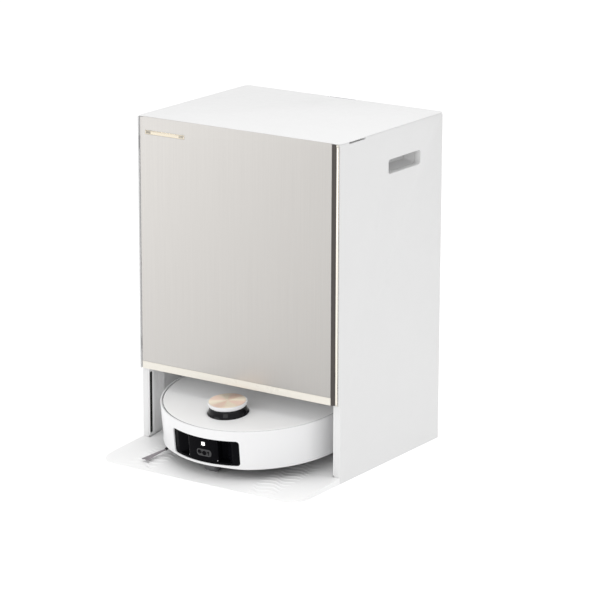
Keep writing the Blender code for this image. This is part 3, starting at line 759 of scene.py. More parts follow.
def make_shell():
    cup_y = (CUP_LOW.y + 2, CUP_HIGH.y - 2)
    cup_z = (CUP_LOW.z + 2, CUP_HIGH.z - 14)
    lower = prism(wall_plan(POST_Y, POST_Y), SHELL_LOW.z, STEP_Z + 0.2)
    upper = prism(wall_plan(SHELL_LOW.y, FASCIA_LOW.y), STEP_Z, SHELL_HIGH.z)
    shell = boolean(lower, [upper], "UNION")
    middle = ((cup_y[0] + cup_y[1]) / 2, (cup_z[0] + cup_z[1]) / 2)
    hole = rectangle(cup_y[1] - cup_y[0], cup_z[1] - cup_z[0], 5.0, middle)
    notch = rectangle(51, 8, 2.0, (-50.5, SHELL_HIGH.z + 1.2))
    socket_low, socket_high = span("mains_inlet")
    socket = (
        (socket_low.x - 0.3, socket_low.y - 5, socket_low.z - 0.3),
        (socket_high.x + 0.3, socket_high.y + 5, socket_high.z + 0.3),
    )
    cutters = [
        bar(hole, -HALF - 10, HALF + 10, "x"),
        bar(notch, INNER_X - 5, HALF + 10, "x"),
        block(*socket),
        block((-HALF - 10, SHELL_HIGH.y - 8, 601.8), (HALF + 10, SHELL_HIGH.y + 5, 620)),
    ]
    shell = soft(boolean(shell, cutters), 0.7, 3, 50)
    # The walls' white is partly painted shade, set darker than the liner's.
    piece("cabinet_walls", shell, "station", WHITE, ["outer_shell"])


def make_handle_cup(side, sign):
    """A finger recess: its floor and ends slope in, and it is deeper upwards."""
    low, high = span("handle_cup_" + side)
    outer = block(low, high, 1.5, 2)
    y0, y1 = low.y + 2, high.y - 2
    z0, z1 = low.z + 2, high.z - 14
    depth = 22.0
    face = sign * (INNER_X + 3)
    mid_y, mid_z = (y0 + y1) / 2, (z0 + z1) / 2
    rings = []
    for x, inset, lift, raised in (
        (face, 0.0, 0.0, 0.0),
        (face - sign * 3, 0.2, 0.2, 0.0),
        (face - sign * 12, 3.0, 3.0, 4.0),
        (face - sign * depth, 8.0, 7.0, 9.0),
    ):
        flat = rectangle(
            y1 - y0 - 2 * inset, z1 - z0 - lift + raised, 5.0, (mid_y, mid_z + (lift + raised) / 2)
        )
        rings.append([(x, y, z) for y, z in flat])
    cup = boolean(outer, [loft(rings)])
    name = f"handle_cup_{side}_moulded"
    # The recess's finish is painted shade: darker than the walls around it.
    piece(name, cup, "station", RECESS_PAINTED_SHADE, ["handle_cup_" + side])


def edges_at(shape, z):
    """The edges of a flat face's rim at a height."""
    level = [e for e in shape.edges if all(abs(v.co.z - z * MM) < 1e-6 for v in e.verts)]
    return [e for e in level if len(e.link_faces) == 2 and e.calc_face_angle() > 1]


def make_lid():
    """A thin top sheet, a thicker ribbed middle between the walls."""
    notch = 5.4
    under = SHELL_HIGH.z + 0.3
    plan = rounded(
        [
            (-HALF, LID_LOW.y),
            (HALF, LID_LOW.y),
            (HALF, LID_HIGH.y),
            (31, LID_HIGH.y),
            (31, LID_HIGH.y - notch),
            (-31, LID_HIGH.y - notch),
            (-31, LID_HIGH.y),
            (-HALF, LID_HIGH.y),
        ],
        [6, 6, 8, 0.8, 0.8, 0.8, 0.8, 8],
    )
    plate = prism(plan, under, LID_HIGH.z)
    bevel(plate, edges_at(plate, LID_HIGH.z), 0.5, 3)
    bevel(plate, edges_at(plate, under), 0.2, 2)
    piece("lid_plate", plate, "lid", WHITE, ["top_lid"])
    thick = LID_HIGH.z - 3.2
    inner_x = INNER_X - 1.5
    front = DOOR_HIGH.y + 1.0
    core = [
        (-inner_x, front),
        (inner_x, front),
        (inner_x, LID_HIGH.y - notch),
        (-inner_x, LID_HIGH.y - notch),
    ]
    shapes = [prism(rounded(core, 1.5, 3), thick, under + 0.1)]
    tray = rectangle(392, 298, 10, (0, 65))
    hollow = rectangle(384, 290, 7, (0, 65))
    shapes.append(boolean(prism(tray, LID_LOW.z, thick + 0.1), [prism(hollow, LID_LOW.z - 3, thick + 3)]))
    for x in (-150, -75, 0, 75, 150):
        shapes.append(block((x - 0.9, -80, LID_LOW.z + 1.2), (x + 0.9, 210, thick + 0.1), 0.4, 2))
    for y in (-10, 65, 140):
        shapes.append(block((-192, y - 0.9, LID_LOW.z + 1.6), (192, y + 0.9, thick + 0.1), 0.4, 2))
    piece("lid_underside", soft(merged(*shapes), 0.3, 1, 60), "lid", LINER_WHITE_PAINTED_LIGHTER)


def slot_plan(y0, y1, z0, z1):
    return rectangle(y1 - y0, z1 - z0, (y1 - y0) * 0.48, ((y0 + y1) / 2, (z0 + z1) / 2), 8)


def make_liner(side, sign):
    """Bay side liner: an upright slot with round ends, a bright strip and a hollowed panel."""
    low, high = span("liner_" + side)
    strip_low, strip_high = span("signal_strip_" + side)
    near = low.x if sign > 0 else high.x
    far = high.x if sign > 0 else low.x
    rows, back = [], []
    ys = [low.y + (high.y - low.y) * i / 60 for i in range(61)]
    panel_from = strip_high.y + 7.0
    for z in (low.z, low.z + 0.6, high.z - 0.6, high.z):
        rows.append([])
        back.append([])
        for y in ys:
            share = (y - panel_from) / (high.y - 1.0 - panel_from)
            hollow = 1.0 * math.sin(math.pi * share) ** 0.7 if 0 < share < 1 else 0.0
            rows[-1].append((near + sign * hollow, y, z))
            back[-1].append((far, y, z))
    liner = surface(rows, back)
    plan = slot_plan(strip_low.y - 0.3, strip_high.y + 0.3, strip_low.z - 0.3, strip_high.z + 0.3)
    liner = boolean(liner, [bar(plan, low.x - 6, high.x + 6, "x")])
    # The liner's white is partly painted light, set lighter against the bay's shade.
    piece(
        f"liner_{side}_moulded", soft(liner, 0.3, 2, 50), "station", LINER_WHITE_PAINTED_LIGHTER, ["liner_" + side]
    )
    strip = bar(
        slot_plan(strip_low.y, strip_high.y, strip_low.z, strip_high.z), strip_low.x, strip_high.x, "x"
    )
    piece(
        f"signal_strip_{side}_window",
        soft(strip, 0.4, 2, 50),
        "station",
        GLOSS,
        ["signal_strip_" + side],
    )


def tray_height(y):
    """Height of the tray's top over the station's Y. The heights repeat the CAD profile."""
    nodes = [(TRAY_LOW.y, 2.4), (-182.0, 8.0), (POST_Y, 12.5), (-68.0, 16.5), (-34.0, 23.9), (30.0, 30.96)]
    for (y0, z0), (y1, z1) in zip(nodes, nodes[1:]):
        if y <= y1:
            return z0 + (z1 - z0) * (y - y0) / (y1 - y0)
    return nodes[-1][1]


def wave_rib(y, x0, x1, phase):
    """One wavy grip rib across the ramp, tapered at both ends."""
    rows, back = [], []
    steps = 48
    profile = [(-2.8, 0.0), (-1.9, 0.34), (-0.8, 0.70), (0.0, 0.8), (0.8, 0.70), (1.9, 0.34), (2.8, 0.0)]
    for i in range(steps + 1):
        t = i / steps
        x = x0 + (x1 - x0) * t
        shift = 3.6 * math.sin(2 * math.pi * (x / 46.0) + phase)
        fade = min(1.0, 7 * t, 7 * (1 - t)) ** 0.5
        row, under = [], []
        for across, rise in profile:
            here = y + shift + across * (0.35 + 0.65 * fade)
            row.append((x, here, tray_height(here) + rise * fade - 0.02))
            under.append((x, here, tray_height(here) - 0.5))
        rows.append(row)
        back.append(under)
    return surface(rows, back)


def make_tray():
    tray = soft(cad_shape("base_tray"), 1.0, 3, 25)
    # The tray's white is partly painted light, set lighter against the robot's shade.
    piece("tray_moulded", tray, "station", TRAY_WHITE_PAINTED_LIGHTER, ["base_tray"])
    ribs = []
    for index in range(13):
        y = TRAY_LOW.y + 13 + index * 12.4
        for side in (-1, 1):
            ends = sorted((side * 97.0, side * 160.0))
            ribs.append(wave_rib(y, *ends, index * 0.9))
    piece("tray_grip_ribs", merged(*ribs), "station", TRAY_WHITE_PAINTED_LIGHTER, angle=60)
    for side in ("left", "right"):
        refined("foot_" + side, "station", RUBBER, 0.6)


def make_wash_board():
    low, high = local_span("wash_board")
    shapes = [
        prism(rectangle(high.x - low.x, high.y - low.y, 8, (0, (low.y + high.y) / 2)), low.z, low.z + 6)
    ]
    for index in range(12):
        y = low.y + 12 + index * (high.y - low.y - 24) / 11
        rib = bar(
            rounded(
                [(y - 2.2, low.z + 5), (y + 2.2, low.z + 5), (y + 0.8, high.z), (y - 0.8, high.z)], 0.6, 3
            ),
            low.x + 10, high.x - 10, "x"
        )
        shapes.append(rib)
    for side in (-1, 1):
        for index in range(8):
            shapes.append(
                rod(
                    2.2, (side * 143, low.y + 16 + index * 16, low.z + 5),
                    (side * 143, low.y + 16 + index * 16, low.z + 10), 16, 0.8
                )
            )
    robot_piece(
        "wash_board_ribbed", soft(merged(*shapes), 0.4, 1, 60), "station", INNER,
        ["wash_board"]
    )


def make_bay():
    refined("bay_back_panel", "station", INNER, 0.8, 3)
    refined("bay_ceiling", "station", LINER_WHITE_PAINTED_LIGHTER, 0.8)
    refined("tank_shelf", "station", INNER, 0.8)
    low, high = span("bay_back_panel")
    seal = lathe(rounded([(22.5, 0), (30, 0), (30, 3.4), (24, 5.0), (22.5, 5.0)], 0.8, 3), 64)
    seal = moved(seal, (0, low.y + 0.6, 110), Matrix.Rotation(math.radians(90), 4, "X"))
    piece("dust_port_seal", seal, "station", RUBBER)
    ribs = [
        block(
            (x - 1, low.y - 1.2, low.z + 8), (x + 1, low.y + 0.5, high.z - 6), 0.5, 2
        ) for x in (-150, -110, 110, 150)
    ]
    piece("bay_back_ribs", merged(*ribs), "station", INNER)
    window = bar(rectangle(34, 12, 5, (-90, 112)), low.y - 1.0, low.y + 0.5, "y")
    piece("infrared_window", soft(window, 0.3, 2, 50), "station", GLOSS)
    for side in ("left", "right"):
        refined("charge_contact_" + side, "station", GOLD, 0.8, 3)
        c_low, c_high = span("charge_contact_" + side)
        guard = boolean(
            block(
                (c_low.x - 4, c_high.y - 7, c_low.z - 4), (c_high.x + 4, c_high.y + 0.2, c_high.z + 4), 2,
                3
            ),
            [
                block(
                    (c_low.x - 0.4, c_high.y - 12, c_low.z - 0.4),
                    (c_high.x + 0.4, c_high.y + 3, c_high.z + 0.4)
                )
            ],
        )
        piece(f"contact_guard_{side}", soft(guard, 0.3, 1, 60), "station", BLACK)


# ---------------------------------------------------------------- station: behind the door


def make_fascia():
    refined("front_fascia", "station", WHITE, 0.9, 3)
    low, high = FASCIA_LOW, FASCIA_HIGH
    line = [(-190, 170), (190, 170), (190, 392), (-190, 392)]
    outer = rounded(line, 6, 5)
    inner = rounded([(-187, 173), (187, 173), (187, 389), (-187, 389)], 4, 5)
    seal = boolean(bar(outer, low.y - 1.0, low.y + 0.4, "y"), [bar(inner, low.y - 4, low.y + 4, "y")])
    piece("compartment_seal", soft(seal, 0.3, 2, 50), "station", SOFT_GREY)


def make_tank(name, sign, finish):
    low, high = span(name)
    tank = soft(cad_shape(name), 1.2, 2, 50)
    piece(name + "_vessel", tank, "station", finish, [name])
    mid_x, mid_y = (low.x + high.x) / 2, (low.y + high.y) / 2
    width, depth = high.x - low.x, high.y - low.y
    lid = prism(rectangle(width, depth, 11, (mid_x, mid_y), 7), high.z + 0.1, high.z + 5.4)
    soft(lid, 1.4, 3, 50)
    skirt = prism(rectangle(width - 6.6, depth - 6.6, 7, (mid_x, mid_y), 7), high.z - 5, high.z + 0.3)
    piece(name + "_lid", merged(lid, skirt), "station", DARK)
    top = high.z + 5.4
    grip = smooth_path(
        [
            (mid_x - 52, mid_y, top - 2),
            (mid_x - 51, mid_y - 12, top + 0.4),
            (mid_x - 38, mid_y - 30, top + 1.0),
            (mid_x, mid_y - 36, top + 1.2),
            (mid_x + 38, mid_y - 30, top + 1.0),
            (mid_x + 51, mid_y - 12, top + 0.4),
            (mid_x + 52, mid_y, top - 2),
        ],
        8,
    )
    piece(name + "_grip", tube(grip, 2.3, 14), "station", SOFT_GREY)
    knobs = [
        rod(
            6, (mid_x + s * 52, mid_y, top - 2), (mid_x + s * 52, mid_y, top + 2.4), 28, 1.2
        ) for s in (-1, 1)
    ]
    knobs.append(rod(11, (mid_x, mid_y + 48, top - 1), (mid_x, mid_y + 48, top + 2.2), 36, 1.0))
    piece(name + "_knobs", merged(*knobs), "station", SOFT_GREY)
    level = low.z + (high.z - low.z) * (0.72 if sign < 0 else 0.18)
    water = prism(rectangle(width - 6.4, depth - 6.4, 7, (mid_x, mid_y), 7), low.z + 3.2, level)
    piece(name + "_water", soft(water, 0.5, 2, 50), "station", WATER)


def make_dust_bag():
    """A soft bag behind its stiff collar plate, creased where it folds."""
    refined("bag_holder", "station", INNER, 0.8)
    low, high = span("dust_bag")
    size = high - low
    middle = (low + high) / 2
    shape = block(low, high, 26, 6)
    bmesh.ops.subdivide_edges(shape, edges=shape.edges[:], cuts=5, use_grid_fill=True)
    for vert in shape.verts:
        at = (vert.co / MM - middle)
        u, v, w = (2 * at[i] / size[i] for i in range(3))
        belly = (1 - u * u) * (1 - w * w)
        folds = 2.0 * math.sin(u * 9 + 3 * math.sin(w * 2.2)) + 1.3 * math.sin(w * 15 + 2.5 * u)
        pull = 1 - 0.10 * abs(w) ** 3 - 0.06 * abs(u) ** 3
        at.x *= pull
        at.z *= 1 - 0.05 * abs(u) ** 2
        if v > -0.9:
            at.y = at.y * (0.80 + 0.17 * belly) - 5 + folds * 0.9 * (0.5 + 0.5 * v)
        new = at + middle
        for i in range(3):
            new[i] = min(max(new[i], low[i] + 0.2), high[i] - 0.2)
        vert.co = new * MM
    bmesh.ops.smooth_vert(
        shape, verts=shape.verts, factor=0.5, use_axis_x=True, use_axis_y=True, use_axis_z=True
    )
    bag = piece("dust_bag_soft", shape, "station", BAG_CLOTH, ["dust_bag"], angle=180)


def make_motor_parts():
    low, high = span("suction_fan")
    mid = (low + high) / 2
    radius = (high.x - low.x) / 2
    can = lathe(
        rounded(
            [(0, low.z), (radius, low.z), (radius, high.z - 30), (radius - 22, high.z), (0, high.z)],
            [0, 3, 6, 8, 0],
            5,
        ),
        72,
    )
    fins = [can]
    for index in range(24):
        fin = block((radius - 3, -0.9, low.z + 14), (radius - 0.3, 0.9, high.z - 44), 0.3, 1)
        fins.append(moved(fin, (0, 0, 0), Matrix.Rotation(index * math.pi / 12, 4, "Z")))
    fan = moved(merged(*fins), (mid.x, mid.y, 0))
    piece("suction_fan_housing", fan, "station", DARK, ["suction_fan"])
    low, high = span("drying_fan")
    box = block(low, high, 6, 4)
    mid = (low + high) / 2
    mouth = boolean(box, [rod(26, (mid.x, low.y - 5, mid.z), (mid.x, low.y + 12, mid.z), 48)])
    blades = [
        soft(mouth, 0.5, 1, 60), rod(9, (mid.x, low.y + 1.2, mid.z), (mid.x, low.y + 12, mid.z), 32, 1.0)
    ]
    for index in range(9):
        blade = block((8, -1.0, -11.5), (25, 1.0, 0), 0.4, 1)
        turn = Matrix.Rotation(math.radians(90), 4, "X")
        spin = Matrix.Rotation(index * 2 * math.pi / 9, 4, "Y")
        blades.append(moved(blade, (mid.x, low.y + 12, mid.z), spin @ turn))
    piece("drying_fan_housing", merged(*blades), "station", DARK, ["drying_fan"])
    low, high = span("water_pump")
    mid = (low + high) / 2
    r = (high.x - low.x) / 2
    pump = lathe(
        rounded(
            [(0, low.z), (r, low.z), (r, low.z + 26), (r - 3, low.z + 28), (r - 3, low.z + 70),
             (r, low.z + 72),
             (r, low.z + 90), (6, low.z + 90), (6, high.z - 4), (7, high.z - 3), (6, high.z), (0, high.z)],
            [0, 2, 1, 1, 1, 1, 2, 2, 1, 1, 1, 0],
            3,
        ),
        56,
    )
    piece("water_pump_body", moved(pump, (mid.x, mid.y, 0)), "station", INNER, ["water_pump"])
    low, high = span("power_supply")
    case = [block(low, high, 1.5, 2)]
    for index in range(14):
        x = low.x + 12 + index * 5.4
        case.append(block((x, low.y - 0.4, low.z + 14), (x + 2.4, low.y + 1, high.z - 14), 0.5, 1))
    piece("power_supply_case", merged(*case), "station", STEEL, ["power_supply"])
    low, high = span("control_board")
    piece(
        "control_board_laminate", block(low, high, 0.2, 1), "station", BOARD_GREEN,
        ["control_board"]
    )
    chips = []
    for x, z, w, h, d in (
        (60, 300, 24, 24, 2.5), (105, 300, 16, 30, 2.0), (140, 330, 18, 18, 8), (60, 350, 12, 8, 3),
        (90, 350, 20, 6, 9), (160, 290, 10, 26, 9), (120, 365, 30, 8, 7), (36, 330, 8, 14, 4),
    ):
        chips.append(block((x, low.y - d, z), (x + w, low.y + 0.2, z + h), 0.5, 1))
    piece("control_board_chips", merged(*chips), "station", BLACK)
    low, high = span("mains_inlet")
    inlet = soft(cad_shape("mains_inlet"), 0.6, 2)
    pins = [
        block((x - 1, high.y - 11, 72 + z), (x + 1, high.y - 3, 78 + z), 0.4, 1) for x,
        z in ((-7, 0), (0, -2), (7, 0))
    ]
    piece("mains_inlet_housing", inlet, "station", BLACK, ["mains_inlet"])
    piece("mains_inlet_pins", merged(*pins), "station", STEEL)
    for name in ("door_hinge_lower", "door_hinge_upper", "lid_hinge"):
        refined(name, "station", STEEL, 0.3, 1)


# ---------------------------------------------------------------- station: door


def make_door():
    frame_shape = soft(cad_shape("door_frame"), 0.7, 3, 40)
    piece("door_frame_moulded", frame_shape, "door", WHITE, ["door_frame"])
    back = DOOR_HIGH.y
    panel = bar(rectangle(352, 420, 14, (6, (DOOR_LOW.z + DOOR_HIGH.z) / 2)), back - 0.5, back + 0.9, "y")
    piece("door_inner_panel", soft(panel, 0.6, 3, 50), "door", LINER_WHITE_PAINTED_LIGHTER)
    skin = soft(cad_shape("door_skin"), 0.35, 3, 50)
    # The door skin's colour carries a painted reflection, brighter to its upper left and darker to its
    # lower right.
    piece("door_skin_brushed", skin, "door", CHAMPAGNE, ["door_skin"])
    trim = soft(cad_shape("door_trim"), 0.35, 3, 50)
    piece("door_trim_pearl", trim, "door", IVORY, ["door_trim"])
    low, high = span("door_badge")
    piece("door_badge_plate", block(low, high, 0.4, 2), "door", PLATE_GOLD, ["door_badge"])
    ticks = []
    for index in range(6):
        for x in (low.x + 2.5 + index * 1.7, high.x - 2.5 - index * 1.7):
            ticks.append(
                block((x - 0.35, low.y - 0.28, low.z + 1.2), (x + 0.35, low.y + 0.3, high.z - 1.2), 0.15, 1)
            )
    piece("door_badge_ticks", merged(*ticks), "door", DARK)
    make_rail()


def make_rail():
    """A half-round polished rail standing in a dark channel, with a pale cap at each end. The channel's
    dark is partly painted shade, standing in for the dark flanks beside the rail's highlight.
    """
    low, high = span("door_rail")
    x, y = (low.x + high.x) / 2, (low.y + high.y) / 2
    radius = (high.x - low.x) / 2
    turns = [math.pi * i / 20 for i in range(21)]
    plan = [(x + radius * math.cos(a), y - radius * math.sin(a)) for a in turns]
    plan = [(x + radius, y + radius * 0.9)] + plan + [(x - radius, y + radius * 0.9)]
    rail = prism(plan, low.z + 3.2, high.z - 4.2)
    piece("door_rail_polished", soft(rail, 0.25, 2, 60), "door", GOLD, ["door_rail"])
    top = prism(plan, high.z - 3.8, high.z)
    bottom = rod(radius * 0.8, (x, y, low.z), (x, y, low.z + 3.0), 28, 0.8)
    caps = merged(soft(top, 0.5, 2, 60), bottom)
    piece("door_rail_caps", caps, "door", IVORY)
    channel = prism(
        [
            (SKIN_HIGH.x + 0.4, SKIN_LOW.y + 0.6),
            (SKIN_HIGH.x + 2.4, SKIN_LOW.y + 1.0),
            (x - radius - 0.3, SKIN_LOW.y + 4.6),
            (x + radius + 0.05, SKIN_LOW.y + 4.6),
            (x + radius + 0.05, SKIN_LOW.y + 6.4),
            (SKIN_HIGH.x + 0.4, SKIN_LOW.y + 6.4),
        ],
        DOOR_LOW.z,
        DOOR_HIGH.z,
    )
    piece("door_rail_channel", channel, "door", DARK_BRONZE_PAINTED_SHADE)


def make_jamb():
    """A thin dark gasket on the cabinet's front edge, beside the rail. Its dark is partly painted shade,
    standing in for the dark flank right of the rail's highlight.
    """
    front = SHELL_LOW.y
    gasket = block(
        (HALF - LIP, front + 0.05, STEP_Z + 1.5), (HALF - 0.25, front + 1.2, SHELL_HIGH.z - 0.8), 0.35, 2
    )
    piece("door_gasket", gasket, "station", DARK_BRONZE_PAINTED_SHADE)


# ---------------------------------------------------------------- robot: body

RADIUS = local_span("side_shell")[1].x
SIDE_LOW = local_span("side_shell")[0].z
SIDE_HIGH = local_span("side_shell")[1].z
COVER_RADIUS = local_span("top_cover")[1].x
WINDOW_HALF = math.radians(24.3) * RADIUS
WINDOW_TURN = Matrix.Rotation(math.radians(-1.2), 4, "Z")
WINDOW_Z = (25.0, 71.5)
NOSE_LIFT = 2.6


def side_profile(inner):
    """The wall from its inner foot over the rim and down outside, with a small lip at the foot."""
    outline = [
        (inner, SIDE_LOW + 1.5),
        (inner, SIDE_HIGH - 0.8),
        (inner + 0.5, SIDE_HIGH - 0.1),
        (inner + 1.3, SIDE_HIGH),
        (RADIUS - 0.2, SIDE_HIGH),
        (RADIUS, SIDE_HIGH - 3),
        (RADIUS - 0.3, SIDE_HIGH - 24),
        (RADIUS - 1.3, SIDE_LOW + 4.4),
        (RADIUS - 0.5, SIDE_LOW + 2.9),
        (RADIUS - 0.5, SIDE_LOW + 1.1),
        (RADIUS - 1.4, SIDE_LOW),
        (inner + 0.8, SIDE_LOW),
    ]
    return rounded(outline, [0.4, 0.4, 0.3, 0.3, 1.3, 4, 30, 0.8, 0.5, 0.5, 0.5, 0.4], 4)


def on_wall(u, z, radius):
    """A point on a round wall: u is the distance along the robot's outer circle from the nose."""
    angle = u / RADIUS
    return (radius * math.sin(angle), -radius * math.cos(angle), z)


def wall_plug(width, height, corner, middle_z, radii, flat_ends=()):
    """A solid through the curved wall whose outline grows from one radius to the next. flat_ends
    are the Y of an inner and an outer end that don't follow the wall."""
    rings = []
    flat = rectangle(width, height, corner, (0, middle_z), 6)
    splits = [max(1, round(abs(b[0] - a[0]) / 3)) for a, b in zip(flat, flat[1:] + flat[:1])]
    for radius, grow in radii:
        flat = rectangle(width + 2 * grow, height + 2 * grow, corner + grow, (0, middle_z), 6)
        dense = []
        for (x0, z0), (x1, z1), steps in zip(flat, flat[1:] + flat[:1], splits):
            for k in range(steps):
                dense.append((x0 + (x1 - x0) * k / steps, z0 + (z1 - z0) * k / steps))
        rings.append([on_wall(x, z, radius) for x, z in dense])
    if flat_ends:
        rings.insert(0, [(x, flat_ends[0], z) for x, _, z in rings[0]])
        rings.append([(x, flat_ends[1], z) for x, _, z in rings[-1]])
    return loft(rings)


def make_bumper():
    profile = side_profile(RADIUS - 3.2)
    half = 90 + math.degrees(math.asin(4.0 / RADIUS))
    ring = lathe(profile, 200, -half, 2 * half)
    middle = sum(WINDOW_Z) / 2
    width, height = 2 * WINDOW_HALF, WINDOW_Z[1] - WINDOW_Z[0]
    radii = ((RADIUS - 8, 0), (RADIUS - 1.0, 0), (RADIUS + 2, 2.2))
    plug = wall_plug(width, height, 6.0, middle, radii, (40 - RADIUS, -RADIUS - 20))
    ring = boolean(ring, [moved(plug, turn=WINDOW_TURN)])
    ledge = lathe(
        rounded([(167.4, 84.4), (RADIUS - 2.6, 84.4), (RADIUS - 2.6, 86.1), (167.4, 86.1)], 0.4, 2),
        160,
        -half,
        2 * half,
    )
    for vert in ring.verts:
        at = vert.co / MM
        beside = abs(math.degrees(math.atan2(at.x, -at.y)) + 6.0)
        if at.z < SIDE_LOW + 4.5 and beside < 34.0:
            share = min(1.0, (34.0 - beside) / 18.0)
            vert.co.z += NOSE_LIFT * MM * (3 - 2 * share) * share**2
    # The bumper's white is partly painted shade, set darker than the cover's.
    robot_piece("bumper_moulded", ring, "bumper", ROBOT_WHITE_PAINTED_DARKER, ["bumper"])
    robot_piece("bumper_ledge", ledge, "bumper", ROBOT_WHITE_PAINTED_DARKER)


def window_depth(u):
    """How far the sensor fascia is hollowed behind the wall: a flat frame, then a smooth scoop."""
    share = (62.0 - abs(u)) / 26.0
    if share <= 0:
        return 0.0
    return 17.0 * math.sin(min(share, 1.0) * math.pi / 2) ** 1.4


def window_mask(z):
    """The hollow's share over its height: full between its floor and its roof."""
    low, high = WINDOW_Z[0] + 3.4, WINDOW_Z[1] - 3.0
    return max(0.0, min((z - low) / 1.2, (high - z) / 1.2, 1.0))


def on_window(shape, u=0.0):
    """Turns a shape drawn at the nose along the wall, into the window's own place."""
    return moved(shape, turn=WINDOW_TURN @ Matrix.Rotation(u / RADIUS, 4, "Z"))


def square_to_wall(u, z, radius):
    """A point on a round wall, and the turn that points Z straight out of it."""
    out = Vector(on_wall(u, 0, 1)).normalized()
    turn = Vector((0, 0, 1)).rotation_difference(out).to_matrix().to_4x4()
    return Vector(on_wall(u, z, radius)), turn


def make_sensor_window():
    """A black trough behind the wall's opening, with the camera module standing in its middle."""
    front, back = [], []
    radius = RADIUS - 3.7
    steps = 298
    for i in range(117):
        z = 22.9 + 0.45 * i
        mask = window_mask(z)
        reach = 3.0 if z < 27.4 else 22.0
        us = [-76.0 + 152.0 * j / steps for j in range(steps + 1)]
        front.append([on_wall(u, z, radius - window_depth(u) * mask) for u in us])
        back.append([on_wall(u, z, radius - reach) for u in us])
    fascia = on_window(surface(front, back))
    robot_piece("sensor_fascia", fascia, "bumper", SENSOR_BLACK, ["sensor_pocket"], angle=30)
    low_z, high_z = 29.5, 70.8
    rows, rear = [], []
    half, steps = 33.0, 66
    for i in range(43):
        z = low_z + (high_z - low_z) * i / 42
        lip = min(z - low_z, high_z - z, 2.0)
        rows.append([])
        rear.append([])
        for j in range(steps + 1):
            u = -half + 2 * half * j / steps
            edge = min(half - abs(u), 6.0)
            drop = 2.6 * (1 - edge / 6.0) ** 2 + 0.4 * (1 - lip / 2.0) ** 2
            rows[-1].append(on_wall(u, z, RADIUS - 1.6 - drop))
            rear[-1].append(on_wall(u, z, RADIUS - 20.0))
    module = on_window(surface(rows, rear))
    robot_piece(
        "camera_module_glass", module, "bumper", SMOKE_LENS, ["camera_module"], angle=50
    )
    face = RADIUS - 1.6
    plate = wall_plug(31, 13.0, 5.4, 43.6, ((face - 2, 0), (face + 0.3, 0), (face + 0.5, -0.5)))
    robot_piece("lens_cluster", on_window(plate, 5.0), "bumper", CLUSTER)
    lenses, rings = [], []
    for u, z, r in ((-4.6, 44.2, 4.0), (6.0, 43.2, 4.3), (14.4, 45.0, 2.1), (14.6, 41.2, 1.4)):
        place, turn = square_to_wall(u, z, face + 0.35)
        dome = [(0, -1.5), (r, -1.5), (r, 0.1), (r * 0.8, 0.45), (r * 0.45, 0.7), (0, 0.8)]
        lenses.append(moved(lathe(dome, 28), place, turn))
        rim = rounded([(r, -1.2), (r + 0.5, -1.2), (r + 0.5, 0.4), (r, 0.4)], 0.12, 2)
        rings.append(moved(lathe(rim, 28), place, turn))
    robot_piece("lenses", on_window(merged(*lenses)), "bumper", SMOKE_LENS)
    robot_piece("lens_rims", on_window(merged(*rings)), "bumper", CLUSTER)
    lamp = wall_plug(7.4, 6.6, 1.4, 60.4, ((face - 2, 0), (face + 0.15, 0), (face + 0.35, -0.3)))
    robot_piece("camera_light", on_window(lamp, 4.4), "bumper", LED_WHITE)
    lights = []
    for u in (-31.0, 31.0):
        place, turn = square_to_wall(u, 31.6, RADIUS - 3.4)
        lights.append(moved(lathe([(0, -3), (1.3, -3), (1.3, 0.3), (0.8, 0.7), (0, 0.9)], 20), place, turn))
    robot_piece("corner_lights", on_window(merged(*lights)), "bumper", SOFT_GREY)
    bars = []
    for sign in (-1, 1):
        start = Vector(on_wall(sign * 62, 31.0, RADIUS - 9.0))
        end = Vector(on_wall(sign * 47, 33.6, RADIUS - 19.5))
        bars.append(rod(1.3, start, end, 16, 0.5))
    robot_piece("line_laser_bars", on_window(merged(*bars)), "bumper", DARK)


def make_shells():
    inner = RADIUS - 3.2
    start = 90 + math.degrees(math.asin(8.0 / RADIUS))
    ring = lathe(side_profile(inner), 180, start, 2 * (180 - start))
    ledge = lathe(
        rounded([(168.4, 84.4), (RADIUS - 2.6, 84.4), (RADIUS - 2.6, 86.1), (168.4, 86.1)], 0.4, 2),
        150,
        start,
        2 * (180 - start),
    )
    robot_piece(
        "side_shell_moulded", merged(ring, ledge), "robot", ROBOT_WHITE_PAINTED_DARKER, ["side_shell"]
    )
    turret_y = joint_place("lidar_spin").y
    top = SIDE_HIGH
    profile = rounded(
        [
            (0, top - 3.6), (COVER_RADIUS, top - 3.6), (COVER_RADIUS, top - 0.9),
            (COVER_RADIUS - 1.2, top - 0.1), (COVER_RADIUS - 5, top), (0, top)
        ],
        [0, 0.4, 0.8, 0.8, 2, 0],
        4,
    )
    cover = boolean(lathe(profile, 240), [rod(39.0, (0, turret_y, top - 10), (0, turret_y, top + 5), 96)])
    # The cover's white is partly painted light, set lighter than the bumper's.
    robot_piece("top_cover_moulded", cover, "robot", COVER_WHITE_PAINTED_LIGHTER, ["top_cover"], angle=40)
    seal = rounded(
        [
            (COVER_RADIUS - 1, top - 3.5),
            (COVER_RADIUS + 0.5, top - 3.5),
            (COVER_RADIUS + 0.5, top - 1.1),
            (COVER_RADIUS - 1, top - 1.1),
        ],
        0.3,
        3,
    )
    robot_piece("top_cover_seal", lathe(seal, 240), "robot", SOFT_GREY)


